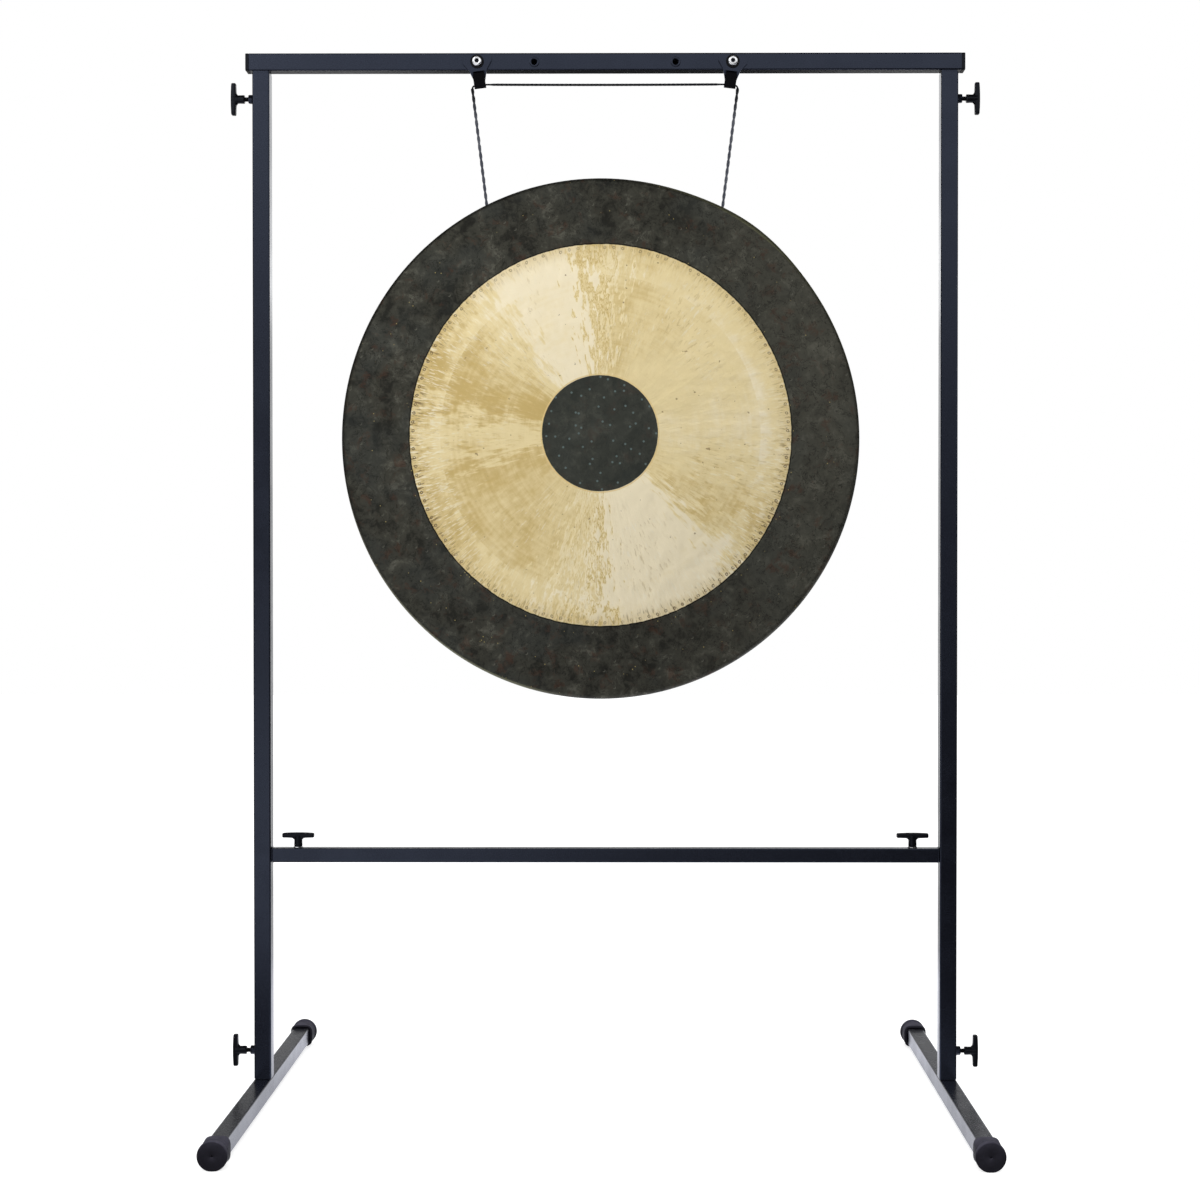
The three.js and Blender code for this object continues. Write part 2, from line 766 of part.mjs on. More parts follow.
function gongShell() {
  const faceRadius = gongRadius - gongShoulder;
  const surface = (inside) => {
    const face = Array.from({ length: faceSteps }, (_, i) => {
      const share = i / faceSteps;
      return [faceRadius * share, inside - gongDome * (1 - share * share)];
    });
    const shoulder = Array.from({ length: shoulderSteps + 1 }, (_, i) => {
      const angle = THREE.MathUtils.lerp(-Math.PI / 2, gongTaper, i / shoulderSteps);
      const radius = gongShoulder - inside;
      return [faceRadius + radius * Math.cos(angle), gongShoulder + radius * Math.sin(angle)];
    });
    const [rootRadius, rootDepth] = shoulder[shoulderSteps];
    const back = [rootRadius - (gongRim - rootDepth) * Math.tan(gongTaper), gongRim];
    return [...face, ...shoulder, back];
  };
  const profile = [...surface(0), ...surface(gongThickness).reverse()];
  const points = profile.map(([radius, depth]) => new THREE.Vector2(radius, depth));
  const shell = new THREE.LatheGeometry(points, gongSteps);
  return handHammered(shell);
}

// The outline is a little oval, with one flat swell at the upper right.
function handHammered(shell) {
  const places = shell.attributes.position;
  for (let i = 0; i < places.count; i++) {
    const x = places.getX(i);
    const z = places.getZ(i);
    const radius = Math.hypot(x, z);
    const off = (Math.atan2(z, x) - gongBulgeAt) / gongBulgeSpread;
    const swell = gongBulge * Math.exp(-off * off) * (radius / gongRadius) ** 2;
    const stretch = radius > 0 ? 1 + swell / radius : 1;
    places.setX(i, x * stretch * (1 - gongOvalShare));
    places.setZ(i, z * stretch * (1 + gongOvalShare));
  }
  return shell;
}

function middleOfMass(geometry) {
  const shape = geometry.index ? geometry.toNonIndexed() : geometry;
  const places = shape.attributes.position;
  const corners = [new THREE.Vector3(), new THREE.Vector3(), new THREE.Vector3()];
  const middle = new THREE.Vector3();
  let volume = 0;
  for (let i = 0; i < places.count; i += 3) {
    corners.forEach((corner, k) => corner.fromBufferAttribute(places, i + k));
    const [a, b, c] = corners;
    const share = a.dot(b.clone().cross(c)) / 6;
    volume += share;
    middle.addScaledVector(a, share / 4).addScaledVector(b, share / 4).addScaledVector(c, share / 4);
  }
  return middle.divideScalar(volume);
}

// The cord's route, the same on both sides of the middle

// A place in a hook: how far toward the middle, and how far up from its bolt.
function inHook(sign, inward, up) {
  const across = inward * Math.cos(hangerTurn) - up * Math.sin(hangerTurn);
  const rise = inward * Math.sin(hangerTurn) + up * Math.cos(hangerTurn);
  return new THREE.Vector3(sign * (hangerSpread - across), hookPlane, insertLevel + rise);
}

const channelRadius = hookRadius - plateThickness / 2 - sleeveFit - sleeveWall;
const cordUp = -hookDrop - channelRadius + seatGap + cordDiameter / 2;
const hookHalf = hookWidth / 2 + sleeveFit + sleeveWall;

const shell = gongShell();
const gong = addGroup(stand);
gong.position.set(-gongOffset, hookPlane - middleOfMass(shell).y, gongLevel);
gong.rotation.y = gongTurn;
gong.updateMatrix();

function cordPoints(sign) {
  const enters = inHook(sign, hookHalf + cordPast, cordUp);
  const leaves = inHook(sign, -hookHalf - cordPast, cordUp);
  const turnsDown = inHook(sign, -hookHalf - cordTurnOut, cordUp - cordTurnDown);
  const holeHeight = Math.sqrt(gongRadius * gongRadius - holeSpread * holeSpread);
  const hole = new THREE.Vector3(sign * holeSpread, holeDepth, holeHeight).applyMatrix4(gong.matrix);
  const down = hole.clone().sub(turnsDown).normalize();
  const rimNormal = new THREE.Vector3(sign * holeSpread, 0, holeHeight).normalize();
  // The knot lies inside the rim, clear of its taper and of the oval
  const rimDrawIn = (holeDepth + knotDiameter / 2) * Math.tan(gongTaper) + gongRadius * gongOvalShare;
  const wallToKnot = gongThickness + rimDrawIn + seatGap + knotDiameter / 2;
  const knot = hole.clone().addScaledVector(down, wallToKnot / Math.abs(down.dot(rimNormal)));
  return { enters, leaves, turnsDown, hole, knot };
}

const routes = sides.map(({ sign }) => cordPoints(sign));

function stretch(from, to, diameter) {
  const length = from.distanceTo(to);
  const turn = new THREE.Quaternion().setFromUnitVectors(
    new THREE.Vector3(0, 0, 1),
    to.clone().sub(from).divideScalar(length),
  );
  return rod(diameter, length, cordSteps).applyQuaternion(turn).translate(from.x, from.y, from.z);
}

function ball(at, diameter) {
  return new THREE.SphereGeometry(diameter / 2, cordSteps, cordSteps / 2).translate(at.x, at.y, at.z);
}

function cord() {
  const [left, right] = routes;
  const pieces = [stretch(left.enters, right.enters, cordDiameter)];
  for (const { enters, leaves, turnsDown, knot } of routes) {
    pieces.push(ball(enters, cordDiameter), stretch(enters, leaves, cordDiameter));
    pieces.push(ball(leaves, cordDiameter), stretch(leaves, turnsDown, cordDiameter));
    pieces.push(ball(turnsDown, fallDiameter), stretch(turnsDown, knot, fallDiameter));
    pieces.push(ball(knot, knotDiameter));
  }
  return joined(...pieces);
}

function addGong() {
  const toGong = gong.matrix.clone().invert();
  const drills = routes.map(({ turnsDown, knot }) =>
    stretch(turnsDown, knot, fallDiameter + 2 * holeSlack).applyMatrix4(toGong),
  );
  addPiece(gong, "gong", cut(shell, ...drills), "brass");
  addPiece(stand, "gong_cord", cord(), "cord");
}

// Assembly

for (const place of sides) {
  addFoot(place);
  addUpright(place);
  addCrossbarStub(place);
  for (const level of clampLevels) addSideClamp(place, level);
  addBarClamp(place);
  addRailEnd(place);
  addHanger(place);
}
addCrossbar();
addRail();
addGong();

export default stand;
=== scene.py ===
"""Looks of a gong stand: square steel tube, wing screws, hangers, a hammered gong and its cord.

Forms are in millimetres up to the point where a mesh is made. Materials, floor and room are in
metres. The front faces -Y.
"""
import json
from math import atan2, cos, exp, pi, radians, sin, sqrt, tan, tau

import bpy
from mathutils import Matrix, Vector, noise


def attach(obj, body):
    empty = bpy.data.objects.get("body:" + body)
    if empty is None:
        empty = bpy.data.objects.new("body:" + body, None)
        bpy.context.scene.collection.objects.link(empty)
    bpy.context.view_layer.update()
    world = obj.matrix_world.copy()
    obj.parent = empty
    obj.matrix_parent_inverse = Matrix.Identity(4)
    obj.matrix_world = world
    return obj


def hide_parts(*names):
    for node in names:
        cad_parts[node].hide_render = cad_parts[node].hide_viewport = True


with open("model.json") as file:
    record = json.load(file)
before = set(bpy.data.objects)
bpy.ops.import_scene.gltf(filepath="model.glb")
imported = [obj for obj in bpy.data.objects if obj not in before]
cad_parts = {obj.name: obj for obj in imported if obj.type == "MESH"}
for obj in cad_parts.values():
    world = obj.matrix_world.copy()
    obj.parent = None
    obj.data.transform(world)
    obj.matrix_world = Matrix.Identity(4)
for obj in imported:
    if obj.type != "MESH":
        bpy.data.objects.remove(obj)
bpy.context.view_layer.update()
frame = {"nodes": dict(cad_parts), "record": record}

MM = 0.001
SCENE = bpy.context.scene
SIDES = (("left", -1), ("right", 1))


def add_object(name, data):
    made = bpy.data.objects.new(name, data)
    SCENE.collection.objects.link(made)
    return made


def aim(made, place, ahead):
    """Puts a camera or lamp at a place, looking ahead."""
    made.location = place
    made.rotation_mode = "QUATERNION"
    made.rotation_quaternion = ahead.to_track_quat("-Z", "Y")


# Camera, at the photograph's place

def photograph_camera():
    data = bpy.data.cameras.new("camera")
    data.sensor_width = 36
    data.lens = 64.184
    data.shift_x = -0.0186
    data.shift_y = 0.0106
    data.clip_end = 60
    yaw, down = -0.0054, 0.0122
    ahead = Vector((sin(yaw) * cos(down), cos(yaw) * cos(down), -sin(down)))
    camera = add_object("camera", data)
    aim(camera, (0.0504, -3.7503, 0.9016), ahead)
    SCENE.camera = camera


photograph_camera()


# Nodes of a material

def fill(node, inputs):
    """Sets a node's inputs to values, or joins them to other nodes or their outputs."""
    for key, value in inputs.items():
        if isinstance(value, bpy.types.Node):
            value = value.outputs[0]
        if isinstance(value, bpy.types.NodeSocket):
            node.id_data.links.new(value, node.inputs[key])
        else:
            node.inputs[key].default_value = value
    return node


def put(tree, kind, inputs=(), **settings):
    """A shader node with its settings and inputs."""
    made = tree.nodes.new("ShaderNode" + kind)
    for key, value in settings.items():
        setattr(made, key, value)
    return fill(made, dict(inputs))


def then(kind, inputs, **settings):
    """A shader node that goes on from another node's output, in the same tree."""
    before = next(value for value in inputs.values() if isinstance(value, bpy.types.NodeSocket))
    return put(before.id_data, kind, inputs, **settings)


def calc(operation, *values):
    return then("Math", dict(enumerate(values)), operation=operation).outputs[0]


def product(*values):
    made = values[0]
    for value in values[1:]:
        made = calc("MULTIPLY", made, value)
    return made


def sway(value, *marks):
    """A value moved up and down by [mark, reach] pairs. Marks lie about 0.5."""
    for mark, reach in marks:
        value = calc("MULTIPLY_ADD", calc("SUBTRACT", mark, 0.5), reach, value)
    return value


def between(value, low, high, out_low=0.0, out_high=1.0):
    """value from low to high, made 0 to 1 or another span, smoothly and without going past its ends."""
    span = {"Value": value, "From Min": low, "From Max": high, "To Min": out_low, "To Max": out_high}
    return then("MapRange", span, interpolation_type="SMOOTHSTEP").outputs["Result"]


def near(value, at, width):
    """1 at a value, down to 0 a width away on each side."""
    away = calc("ABSOLUTE", calc("SUBTRACT", value, at))
    return between(away, 0.0, width, 1.0, 0.0)


def mix_value(share, first, second):
    """first where share is 0, second where it is 1."""
    return calc("MULTIPLY_ADD", calc("SUBTRACT", second, first), share, first)


def painted(hue, *layers):
    """A hue under layers of [share, colour], from the bottom up."""
    for share, colour in layers:
        both = [(*part, 1) if isinstance(part, tuple) else part for part in (hue, colour)]
        hue = then("Mix", {0: share, 6: both[0], 7: both[1]}, data_type="RGBA").outputs[2]
    return hue


def vector(operation, first, second=(0, 0, 0)):
    """A sum with vectors. SCALE takes a number as its second, and LENGTH gives a number."""
    inputs = {0: first, "Scale" if operation == "SCALE" else 1: second}
    made = then("VectorMath", inputs, operation=operation)
    return made.outputs["Value" if operation == "LENGTH" else "Vector"]


def joined(**parts):
    return then("CombineXYZ", parts).outputs["Vector"]


def parts_of(value):
    """The X, Y and Z of a vector."""
    return then("SeparateXYZ", {0: value}).outputs


def channel(colour, name):
    return then("SeparateColor", {0: colour}).outputs[name]


def own_place(tree):
    """Where a point is in its piece's own space."""
    return put(tree, "TexCoord").outputs["Object"]


def stretched(where, scale):
    return then("Mapping", {"Vector": where, "Scale": scale}).outputs["Vector"]


def noise_at(where, scale, detail, rough=0.5, output="Fac"):
    inputs = {"Vector": where, "Scale": scale, "Detail": detail, "Roughness": rough}
    return then("TexNoise", inputs).outputs[output]


def cloudy(where, size, detail, rough=0.55):
    """Soft noise whose marks are about size metres across."""
    return noise_at(where, 1 / size, detail, rough)


def emptied(owner):
    """The node tree of a material or world, without nodes."""
    owner.use_nodes = True
    owner.node_tree.nodes.clear()
    return owner.node_tree


def effect(name, takes, gives):
    """A named group of nodes that several materials share."""
    tree = bpy.data.node_groups.new(name, "ShaderNodeTree")
    for label, start in takes:
        socket = tree.interface.new_socket(name=label, in_out="INPUT", socket_type="NodeSocketFloat")
        socket.default_value = start
    for label in gives:
        tree.interface.new_socket(name=label, in_out="OUTPUT", socket_type="NodeSocketFloat")
    return tree, tree.nodes.new("NodeGroupInput").outputs, tree.nodes.new("NodeGroupOutput")


def grain_effect():
    """Fine even grain, as of powder coat, moulded rubber or spark-eroded plastic."""
    tree, start, end = effect("surface grain", [("Size", 0.001), ("Lumps", 0.3)], ["Height", "Speckle"])
    place = own_place(tree)
    fine = noise_at(place, calc("DIVIDE", 1.0, start["Size"]), 2.0, 0.6)
    coarse = noise_at(place, calc("DIVIDE", 0.2, start["Size"]), 1.0)
    lumps = product(coarse, start["Lumps"])
    height, speckle = calc("ADD", fine, lumps), between(fine, 0.42, 0.62)
    fill(end, {"Height": height, "Speckle": speckle})
    return tree


def handling_effect():
    """Broad smudges and scuffed places, as hands and packing leave."""
    inputs = [("Size", 0.05), ("Contrast", 1.0)]
    tree, start, end = effect("handling marks", inputs, ["Smudge", "Scuff"])
    place = own_place(tree)
    broad = noise_at(place, calc("DIVIDE", 1.0, start["Size"]), 4.0, 0.6)
    smudge = product(between(broad, 0.35, 0.65), start["Contrast"])
    longways = stretched(place, (1.0, 1.0, 6.0))
    scratch = noise_at(longways, calc("DIVIDE", 4.0, start["Size"]), 6.0, 0.75)
    fill(end, {"Smudge": smudge, "Scuff": between(scratch, 0.68, 0.74)})
    return tree


def dust_effect():
    """A little dust on what faces up, and more near the floor where feet tread."""
    tree, start, end = effect("settled dust", [("Amount", 0.2), ("Trodden", 0.0)], ["Dust"])
    up = parts_of(put(tree, "NewGeometry").outputs["Normal"])["Z"]
    place = own_place(tree)
    patchy = between(cloudy(place, 0.02, 5.0, 0.7), 0.3, 0.75)
    settled = product(between(up, 0.5, 1.0), patchy, start["Amount"])
    low = between(parts_of(place)["Z"], 0.10, 0.06)
    facing_up = between(up, -0.15, 0.75, 0.12, 1.0)
    uneven = calc("MULTIPLY_ADD", patchy, 0.4, 0.6)
    trodden = product(low, facing_up, uneven, start["Trodden"])
    fill(end, {"Dust": calc("MAXIMUM", settled, trodden)})
    return tree


GRAIN = grain_effect()
HANDLING = handling_effect()
DUST = dust_effect()


def group(tree, shared, **inputs):
    made = tree.nodes.new("ShaderNodeGroup")
    made.node_tree = shared
    return fill(made, inputs).outputs


def finish_of(name, **plain):
    """A material with its shader alone; plain values sit on the shader's own sockets."""
    material = bpy.data.materials.new(name)
    tree = emptied(material)
    shader = put(tree, "BsdfPrincipled", plain)
    put(tree, "OutputMaterial", {"Surface": shader})
    return material, tree, shader


def look(shader, hue, rough, height, distance, strength=1.0):
    """A shader's colour and roughness, and relief of this height and distance."""
    bump = then("Bump", {"Strength": strength, "Distance": distance, "Height": height})
    fill(shader, {"Base Color": hue, "Roughness": rough, "Normal": bump})


def coated(name, colour, dusty, rough, grain, lumps, height, dust, shine, tint=(1, 1, 1), trodden=0.0):
    """Powder coat, rubber or moulded plastic: grain, handling marks and dust over one colour."""
    plain = {"Specular IOR Level": shine, "Specular Tint": (*tint, 1)}
    material, tree, shader = finish_of(name, Metallic=0.0, IOR=1.5, **plain)
    fine = group(tree, GRAIN, Size=grain, Lumps=lumps)
    marks = group(tree, HANDLING, Size=0.06, Contrast=1.0)
    dusted = group(tree, DUST, Amount=dust, Trodden=trodden)["Dust"]
    speckled = tuple(part * 1.6 for part in colour)
    worn = product(marks["Scuff"], 0.15)
    pale = calc("MAXIMUM", dusted, worn)
    hue = painted(colour, (product(fine["Speckle"], 0.35), speckled), (pale, dusty))
    for marked, adds in ((marks["Smudge"], 0.05), (fine["Speckle"], 0.06), (dusted, 0.25)):
        rough = calc("MULTIPLY_ADD", marked, adds, rough)
    look(shader, hue, rough, fine["Height"], height)
    return material


def plated(name, colour, rough, brushed, scale=(1.0, 1.0, 1.0), metal=1.0, shine=0.5):
    """Plated or blackened steel with fine turning marks."""
    material, tree, shader = finish_of(name, Metallic=metal, **{"Specular IOR Level": shine})
    smudge = group(tree, HANDLING, Size=0.012, Contrast=1.0)["Smudge"]
    lines = cloudy(stretched(own_place(tree), scale), 0.0012, 2.0, 0.5)
    hue = painted(colour, (smudge, tuple(part * 0.72 for part in colour)))
    look(shader, hue, calc("MULTIPLY_ADD", smudge, 0.12, rough), lines, brushed)
    return material


def laid_cord():
    """Dark synthetic cord with fine filaments, kept darker at the top as painted shade on the level run
    and the tops of its falls: greyer below that, and faded in patches on its two falls.
    """
    dull = {"Metallic": 0.0, "Specular IOR Level": 0.15}
    material, tree, shader = finish_of("cord, laid and dark", **dull)
    place = own_place(tree)
    hair = cloudy(stretched(place, (1.0, 1.0, 0.25)), 0.0007, 3.0, 0.7)
    patches = cloudy(place, 0.03, 2.0)
    # Painted shade: above this height the cord stays darker, over the level run and the falls' tops
    greyer = between(parts_of(place)["Z"], 1.765, 1.70)
    pale = painted((0.035, 0.038, 0.05), (hair, (0.11, 0.118, 0.145)))
    faded = product(between(patches, 0.45, 0.7, 0.0, 0.35), greyer)
    layers = (hair, (0.014, 0.015, 0.020)), (greyer, pale), (faded, (0.2, 0.21, 0.24))
    hue = painted((0.003, 0.003, 0.004), *layers)
    look(shader, hue, between(hair, 0.2, 0.8, 0.7, 0.95), hair, 0.0004)
    return material


# The gong's finish: a raw dark boss and border round a scraped pale ring

RING_MIDDLE = (-0.0079, 0.0, 1.1652)
BOSS_MIDDLE = (-0.0085, 0.0, 1.1680)
EDGE_MIDDLE = (-0.008, 0.0, 1.160)
RING_RADIUS = 0.3322
BOSS_RADIUS = 0.1008
PUNCH_RADIUS = 0.3268
PUNCHES = 132

# From where to where these come in or go out, by distance from the middle
PALE_CIRCLE_IN, PALE_CIRCLE_OUT = (0.2775, 0.2795), (0.303, 0.284)
DARKER_BORDER, SHAVED, CUT = (0.304, RING_RADIUS), (0.255, 0.290), (0.306, 0.322)
# How far out the outer edge's painted highlight lies
RIM_HIGHLIGHT_REACH = (0.4495, 0.4520)
SKIN_METAL, BRASS_METAL = 0.86, 0.60

# Colours of the brass, and of the skin that the fire leaves
# The first three are the brass's tones under painted sheen: shaded, middling and highlighted
SHEEN_SHADE_GOLD, SHEEN_MIDDLE_GOLD, SHEEN_HIGHLIGHT_GOLD = (0.60, 0.440, 0.165), (0.83, 0.690, 0.380), (0.92, 0.815, 0.580)
# Painted highlight and painted shade for the dents' lit and dark sides
LIT_DENT, SHADED_DENT = (0.90, 0.84, 0.68), (0.46, 0.33, 0.13)
BORDER_GOLD, SHAVING, CUT_BROWN = (0.62, 0.47, 0.20), (0.93, 0.86, 0.66), (0.20, 0.13, 0.055)
# The last of these is the gold of a painted highlight round the boss's edge
PUNCH_BROWN, STAIN, BOSS_EDGE_HIGHLIGHT_GOLD = (0.10, 0.065, 0.03), (0.22, 0.14, 0.06), (0.80, 0.60, 0.27)
SOOT, CHARCOAL, ASH = (0.022, 0.0216, 0.0174), (0.054, 0.053, 0.0415), (0.118, 0.115, 0.092)
SLATE, RUST, VEIN = (0.044, 0.051, 0.049), (0.078, 0.040, 0.026), (0.012, 0.012, 0.010)
# The first of these is the pale of a painted highlight on one side of each hammer mark
CRESCENT_HIGHLIGHT, BOSS_GREY, BOSS_DOT = (0.15, 0.148, 0.12), (0.053, 0.060, 0.052), (0.15, 0.20, 0.195)
# The second of these is the olive of a painted highlight on the outer edge
FLECK_GOLD, OLIVE_HIGHLIGHT, HAIRLINE = (0.40, 0.32, 0.13), (0.17, 0.17, 0.10), (0.004, 0.004, 0.003)

# Painted sheen: how pale the scraped brass is painted by direction, from 0 at the right, up and round
# to 1.
# Scraping and turning leave it grained, and the broad wedges of sheen that this shows, with hammered
# borders, are painted into its colour.
SHEEN_SHARES = (
    (0.000, 0.66), (0.120, 0.46), (0.175, 0.40), (0.222, 0.26), (0.236, 0.80), (0.246, 0.04),
    (0.256, 0.52), (0.262, 0.10), (0.270, 0.94), (0.350, 0.92), (0.372, 0.50), (0.405, 0.26),
    (0.447, 0.04), (0.472, 0.28), (0.500, 0.48), (0.520, 0.42), (0.545, 0.12), (0.600, 0.24),
    (0.670, 0.38), (0.690, 0.28), (0.708, 0.80), (0.722, 0.24), (0.738, 0.92), (0.746, 0.04),
    (0.758, 0.96), (0.872, 0.98), (0.888, 0.56), (0.906, 0.22), (0.935, 0.34), (0.968, 0.54),
    (1.000, 0.66),
)

# How hard the ring's outer edge is worked with short strokes, by direction.
WORKED_SHARES = (
    (0.00, 0.60), (0.10, 0.25), (0.34, 0.25), (0.42, 0.75), (0.50, 1.00), (0.56, 0.95),
    (0.62, 0.50), (0.75, 0.35), (0.86, 0.95), (0.93, 0.85), (1.00, 0.60),
)


def from_shares(value, shares):
    """A value read off a table of [place, share]."""
    ramp = then("ValToRGB", {"Fac": value})
    marks = ramp.color_ramp.elements
    while len(marks) > 1:
        marks.remove(marks[-1])
    marks[0].position, marks[0].color = shares[0][0], (shares[0][1],) * 3 + (1,)
    for at, share in shares[1:]:
        marks.new(at).color = (share, share, share, 1)
    return channel(ramp.outputs["Color"], "Red")


def spread_of(place, middle):
    """Where a point is from a middle in the gong's plane, and how far from it."""
    away = vector("SUBTRACT", place, middle)
    flat = vector("MULTIPLY", away, (1.0, 0.0, 1.0))
    return flat, vector("LENGTH", flat)


def scraped_brass(place, radius, direction, boss_edge):
    """Colour, relief and roughness of the bare ring."""

    def streaks(fineness, length):
        """Streaks that run out from the middle: noise that changes fast round it, slowly along it."""
        around = vector("SCALE", direction, fineness)
        outward = joined(Y=calc("DIVIDE", radius, length))
        return noise_at(vector("ADD", around, outward), 1.0, 3.0, 0.6)

    parts = parts_of(direction)
    turn = calc("DIVIDE", calc("ARCTAN2", parts["Z"], parts["X"]), tau)
    turn = calc("FRACT", turn)
    dents, ripples = streaks(48.0, 0.020), streaks(19.0, 0.042)
    peel, patches = cloudy(place, 0.011, 2.0, 0.5), cloudy(place, 0.06, 3.0, 0.6)

    # The painted sheen's wedges wander at their borders with the hammer marks, and the lathe leaves
    # circles
    wander = sway(0.0, (dents, 0.075), (ripples, 0.13), (peel, 0.02))
    sheen = from_shares(calc("FRACT", calc("ADD", turn, wander)), SHEEN_SHARES)
    circles = noise_at(joined(X=product(radius, 110.0)), 1.0, 4.0, 0.65)
    sheen = sway(sheen, (circles, 0.36), (peel, 0.28), (patches, 0.62))
    # A pale circle adds to the painted sheen where the ripples fleck it
    pale_circle = product(
        between(radius, *PALE_CIRCLE_IN), between(radius, *PALE_CIRCLE_OUT),
        between(ripples, 0.40, 0.60, 0.2, 1.0),
    )
    sheen = calc("MULTIPLY_ADD", pale_circle, 0.24, sheen)

    # Painted highlight and painted shade on the lit and dark sides of the deeper dents
    dented = between(cloudy(place, 0.11, 2.0, 0.5), 0.45, 0.62)
    lit = product(between(dents, 0.58, 0.68), dented, 0.45)
    shaded = product(between(dents, 0.42, 0.33), dented, 0.35)

    # Border: a darker edge with short strokes and a row of punch marks
    darker = between(radius, *DARKER_BORDER, 0.0, 0.5)
    strokes = streaks(105.0, 0.018)
    worked = from_shares(turn, WORKED_SHARES)
    shaved = product(between(radius, *SHAVED), between(strokes, 0.47, 0.36), worked, 0.75)
    cuts = product(between(strokes, 0.56, 0.63), worked, between(radius, *CUT), 0.95)
    step = calc("FRACT", product(turn, float(PUNCHES)))
    along = product(calc("SUBTRACT", step, 0.5), tau * PUNCH_RADIUS / PUNCHES)
    astray = calc("MULTIPLY_ADD", streaks(40.0, 2.0), 0.008, -0.004)
    across = calc("ADD", calc("SUBTRACT", radius, PUNCH_RADIUS), astray)
    dot = calc("SQRT", calc("ADD", product(along, along), product(across, across)))
    struck = between(streaks(19.0, 2.0), 0.36, 0.52, 0.15, 1.0)
    struck = product(struck, calc("MULTIPLY_ADD", worked, 0.6, 0.4))
    punched = product(near(dot, 0.0020, 0.0015), struck)
    stains = between(cloudy(place, 0.008, 2.0, 0.4), 0.735, 0.775, 0.0, 0.7)
    # A painted highlight in a thin ring round the boss's edge
    boss_edge_highlight = near(boss_edge, BOSS_RADIUS + 0.0016, 0.0018)
    # The first three golds follow the painted sheen: shaded, middling and highlighted
    hue = painted(
        SHEEN_SHADE_GOLD, (between(sheen, 0.0, 0.5), SHEEN_MIDDLE_GOLD), (between(sheen, 0.5, 1.0), SHEEN_HIGHLIGHT_GOLD),
        (lit, LIT_DENT), (shaded, SHADED_DENT), (darker, BORDER_GOLD), (shaved, SHAVING),
        (cuts, CUT_BROWN), (punched, PUNCH_BROWN), (stains, STAIN), (boss_edge_highlight, BOSS_EDGE_HIGHLIGHT_GOLD),
    )

    relief = calc("ADD", product(dents, 0.00022), product(ripples, 0.0006))
    relief = calc("ADD", relief, product(circles, 0.00005))
    bed = product(between(dot, 0.0005, 0.0024, 1.0, 0.0), struck)
    relief = calc("SUBTRACT", relief, product(bed, 0.0005))
    return hue, relief, calc("MULTIPLY_ADD", dents, 0.14, 0.34)


def fire_skin(place, boss_radius, outer, reach):
    """Colour, relief and roughness of the skin that the fire leaves: charcoal, rust and gold flecks."""
    warp = noise_at(place, 30.0, 3.0, output="Color")
    flowed = vector("ADD", place, vector("SCALE", warp, 0.03))
    small = cloudy(flowed, 0.0065, 4.0, 0.65)
    broad = cloudy(place, 0.075, 3.0, 0.55)
    tone = sway(cloudy(flowed, 0.022, 5.0, 0.64), (small, 0.45), (broad, 0.7))
    at = parts_of(place)
    slate = product(between(cloudy(place, 0.11, 2.0), 0.44, 0.62), 0.3)
    lighter = product(between(at["X"], 0.05, 0.36), 0.34)
    rusty = product(between(cloudy(flowed, 0.030, 5.0, 0.7), 0.54, 0.68), 0.55)
    veins = product(near(cloudy(flowed, 0.045, 5.0, 0.7), 0.5, 0.014), 0.65)

    # Hammer marks: a painted highlight, a pale crescent on one side of each, and small pale dots on the
    # boss
    face = joined(X=at["X"], Y=at["Z"])

    def cells(where, scale, randomness, dimensions="2D"):
        inputs = {"Vector": where, "Scale": scale, "Randomness": randomness}
        return then("TexVoronoi", inputs, voronoi_dimensions=dimensions).outputs

    blows = cells(face, 52.0, 0.9)
    beside = cells(vector("ADD", face, (0.0011, -0.0013, 0.0)), 52.0, 0.9)
    disc = between(blows["Distance"], 0.16, 0.12)
    on_boss = between(boss_radius, BOSS_RADIUS, BOSS_RADIUS + 0.004, 1.0, 0.0)
    off_boss = calc("SUBTRACT", 1.0, on_boss)
    crescent = product(
        disc, between(beside["Distance"], 0.11, 0.16),
        between(channel(blows["Color"], "Red"), 0.88, 0.92), off_boss, 0.6,
    )
    dots = product(between(cells(face, 41.0, 0.95)["Distance"], 0.096, 0.060), on_boss, 0.85)
    specks = cells(place, 190.0, 1.0, "3D")
    rare = between(channel(specks["Color"], "Green"), 0.965, 0.975)
    fleck = product(between(specks["Distance"], 0.24, 0.10), off_boss, rare)

    # A painted olive highlight along the outer edge, in two places
    outward = parts_of(outer)
    slanted = between(product(outward["X"], outward["Z"]), 0.02, 0.07)
    rim_highlight = product(between(reach, *RIM_HIGHLIGHT_REACH), slanted, 0.75)
    hue = painted(
        SOOT, (between(tone, 0.30, 0.54), CHARCOAL), (between(tone, 0.53, 0.78), ASH),
        (slate, SLATE), (lighter, ASH), (rusty, RUST), (veins, VEIN), (crescent, CRESCENT_HIGHLIGHT),
        (product(on_boss, 0.55), BOSS_GREY), (dots, BOSS_DOT), (fleck, FLECK_GOLD), (rim_highlight, OLIVE_HIGHLIGHT),
    )
    pits = calc("ADD", product(small, 0.0007), product(disc, -0.0003))
    return hue, pits, calc("MULTIPLY_ADD", small, 0.25, 0.40)


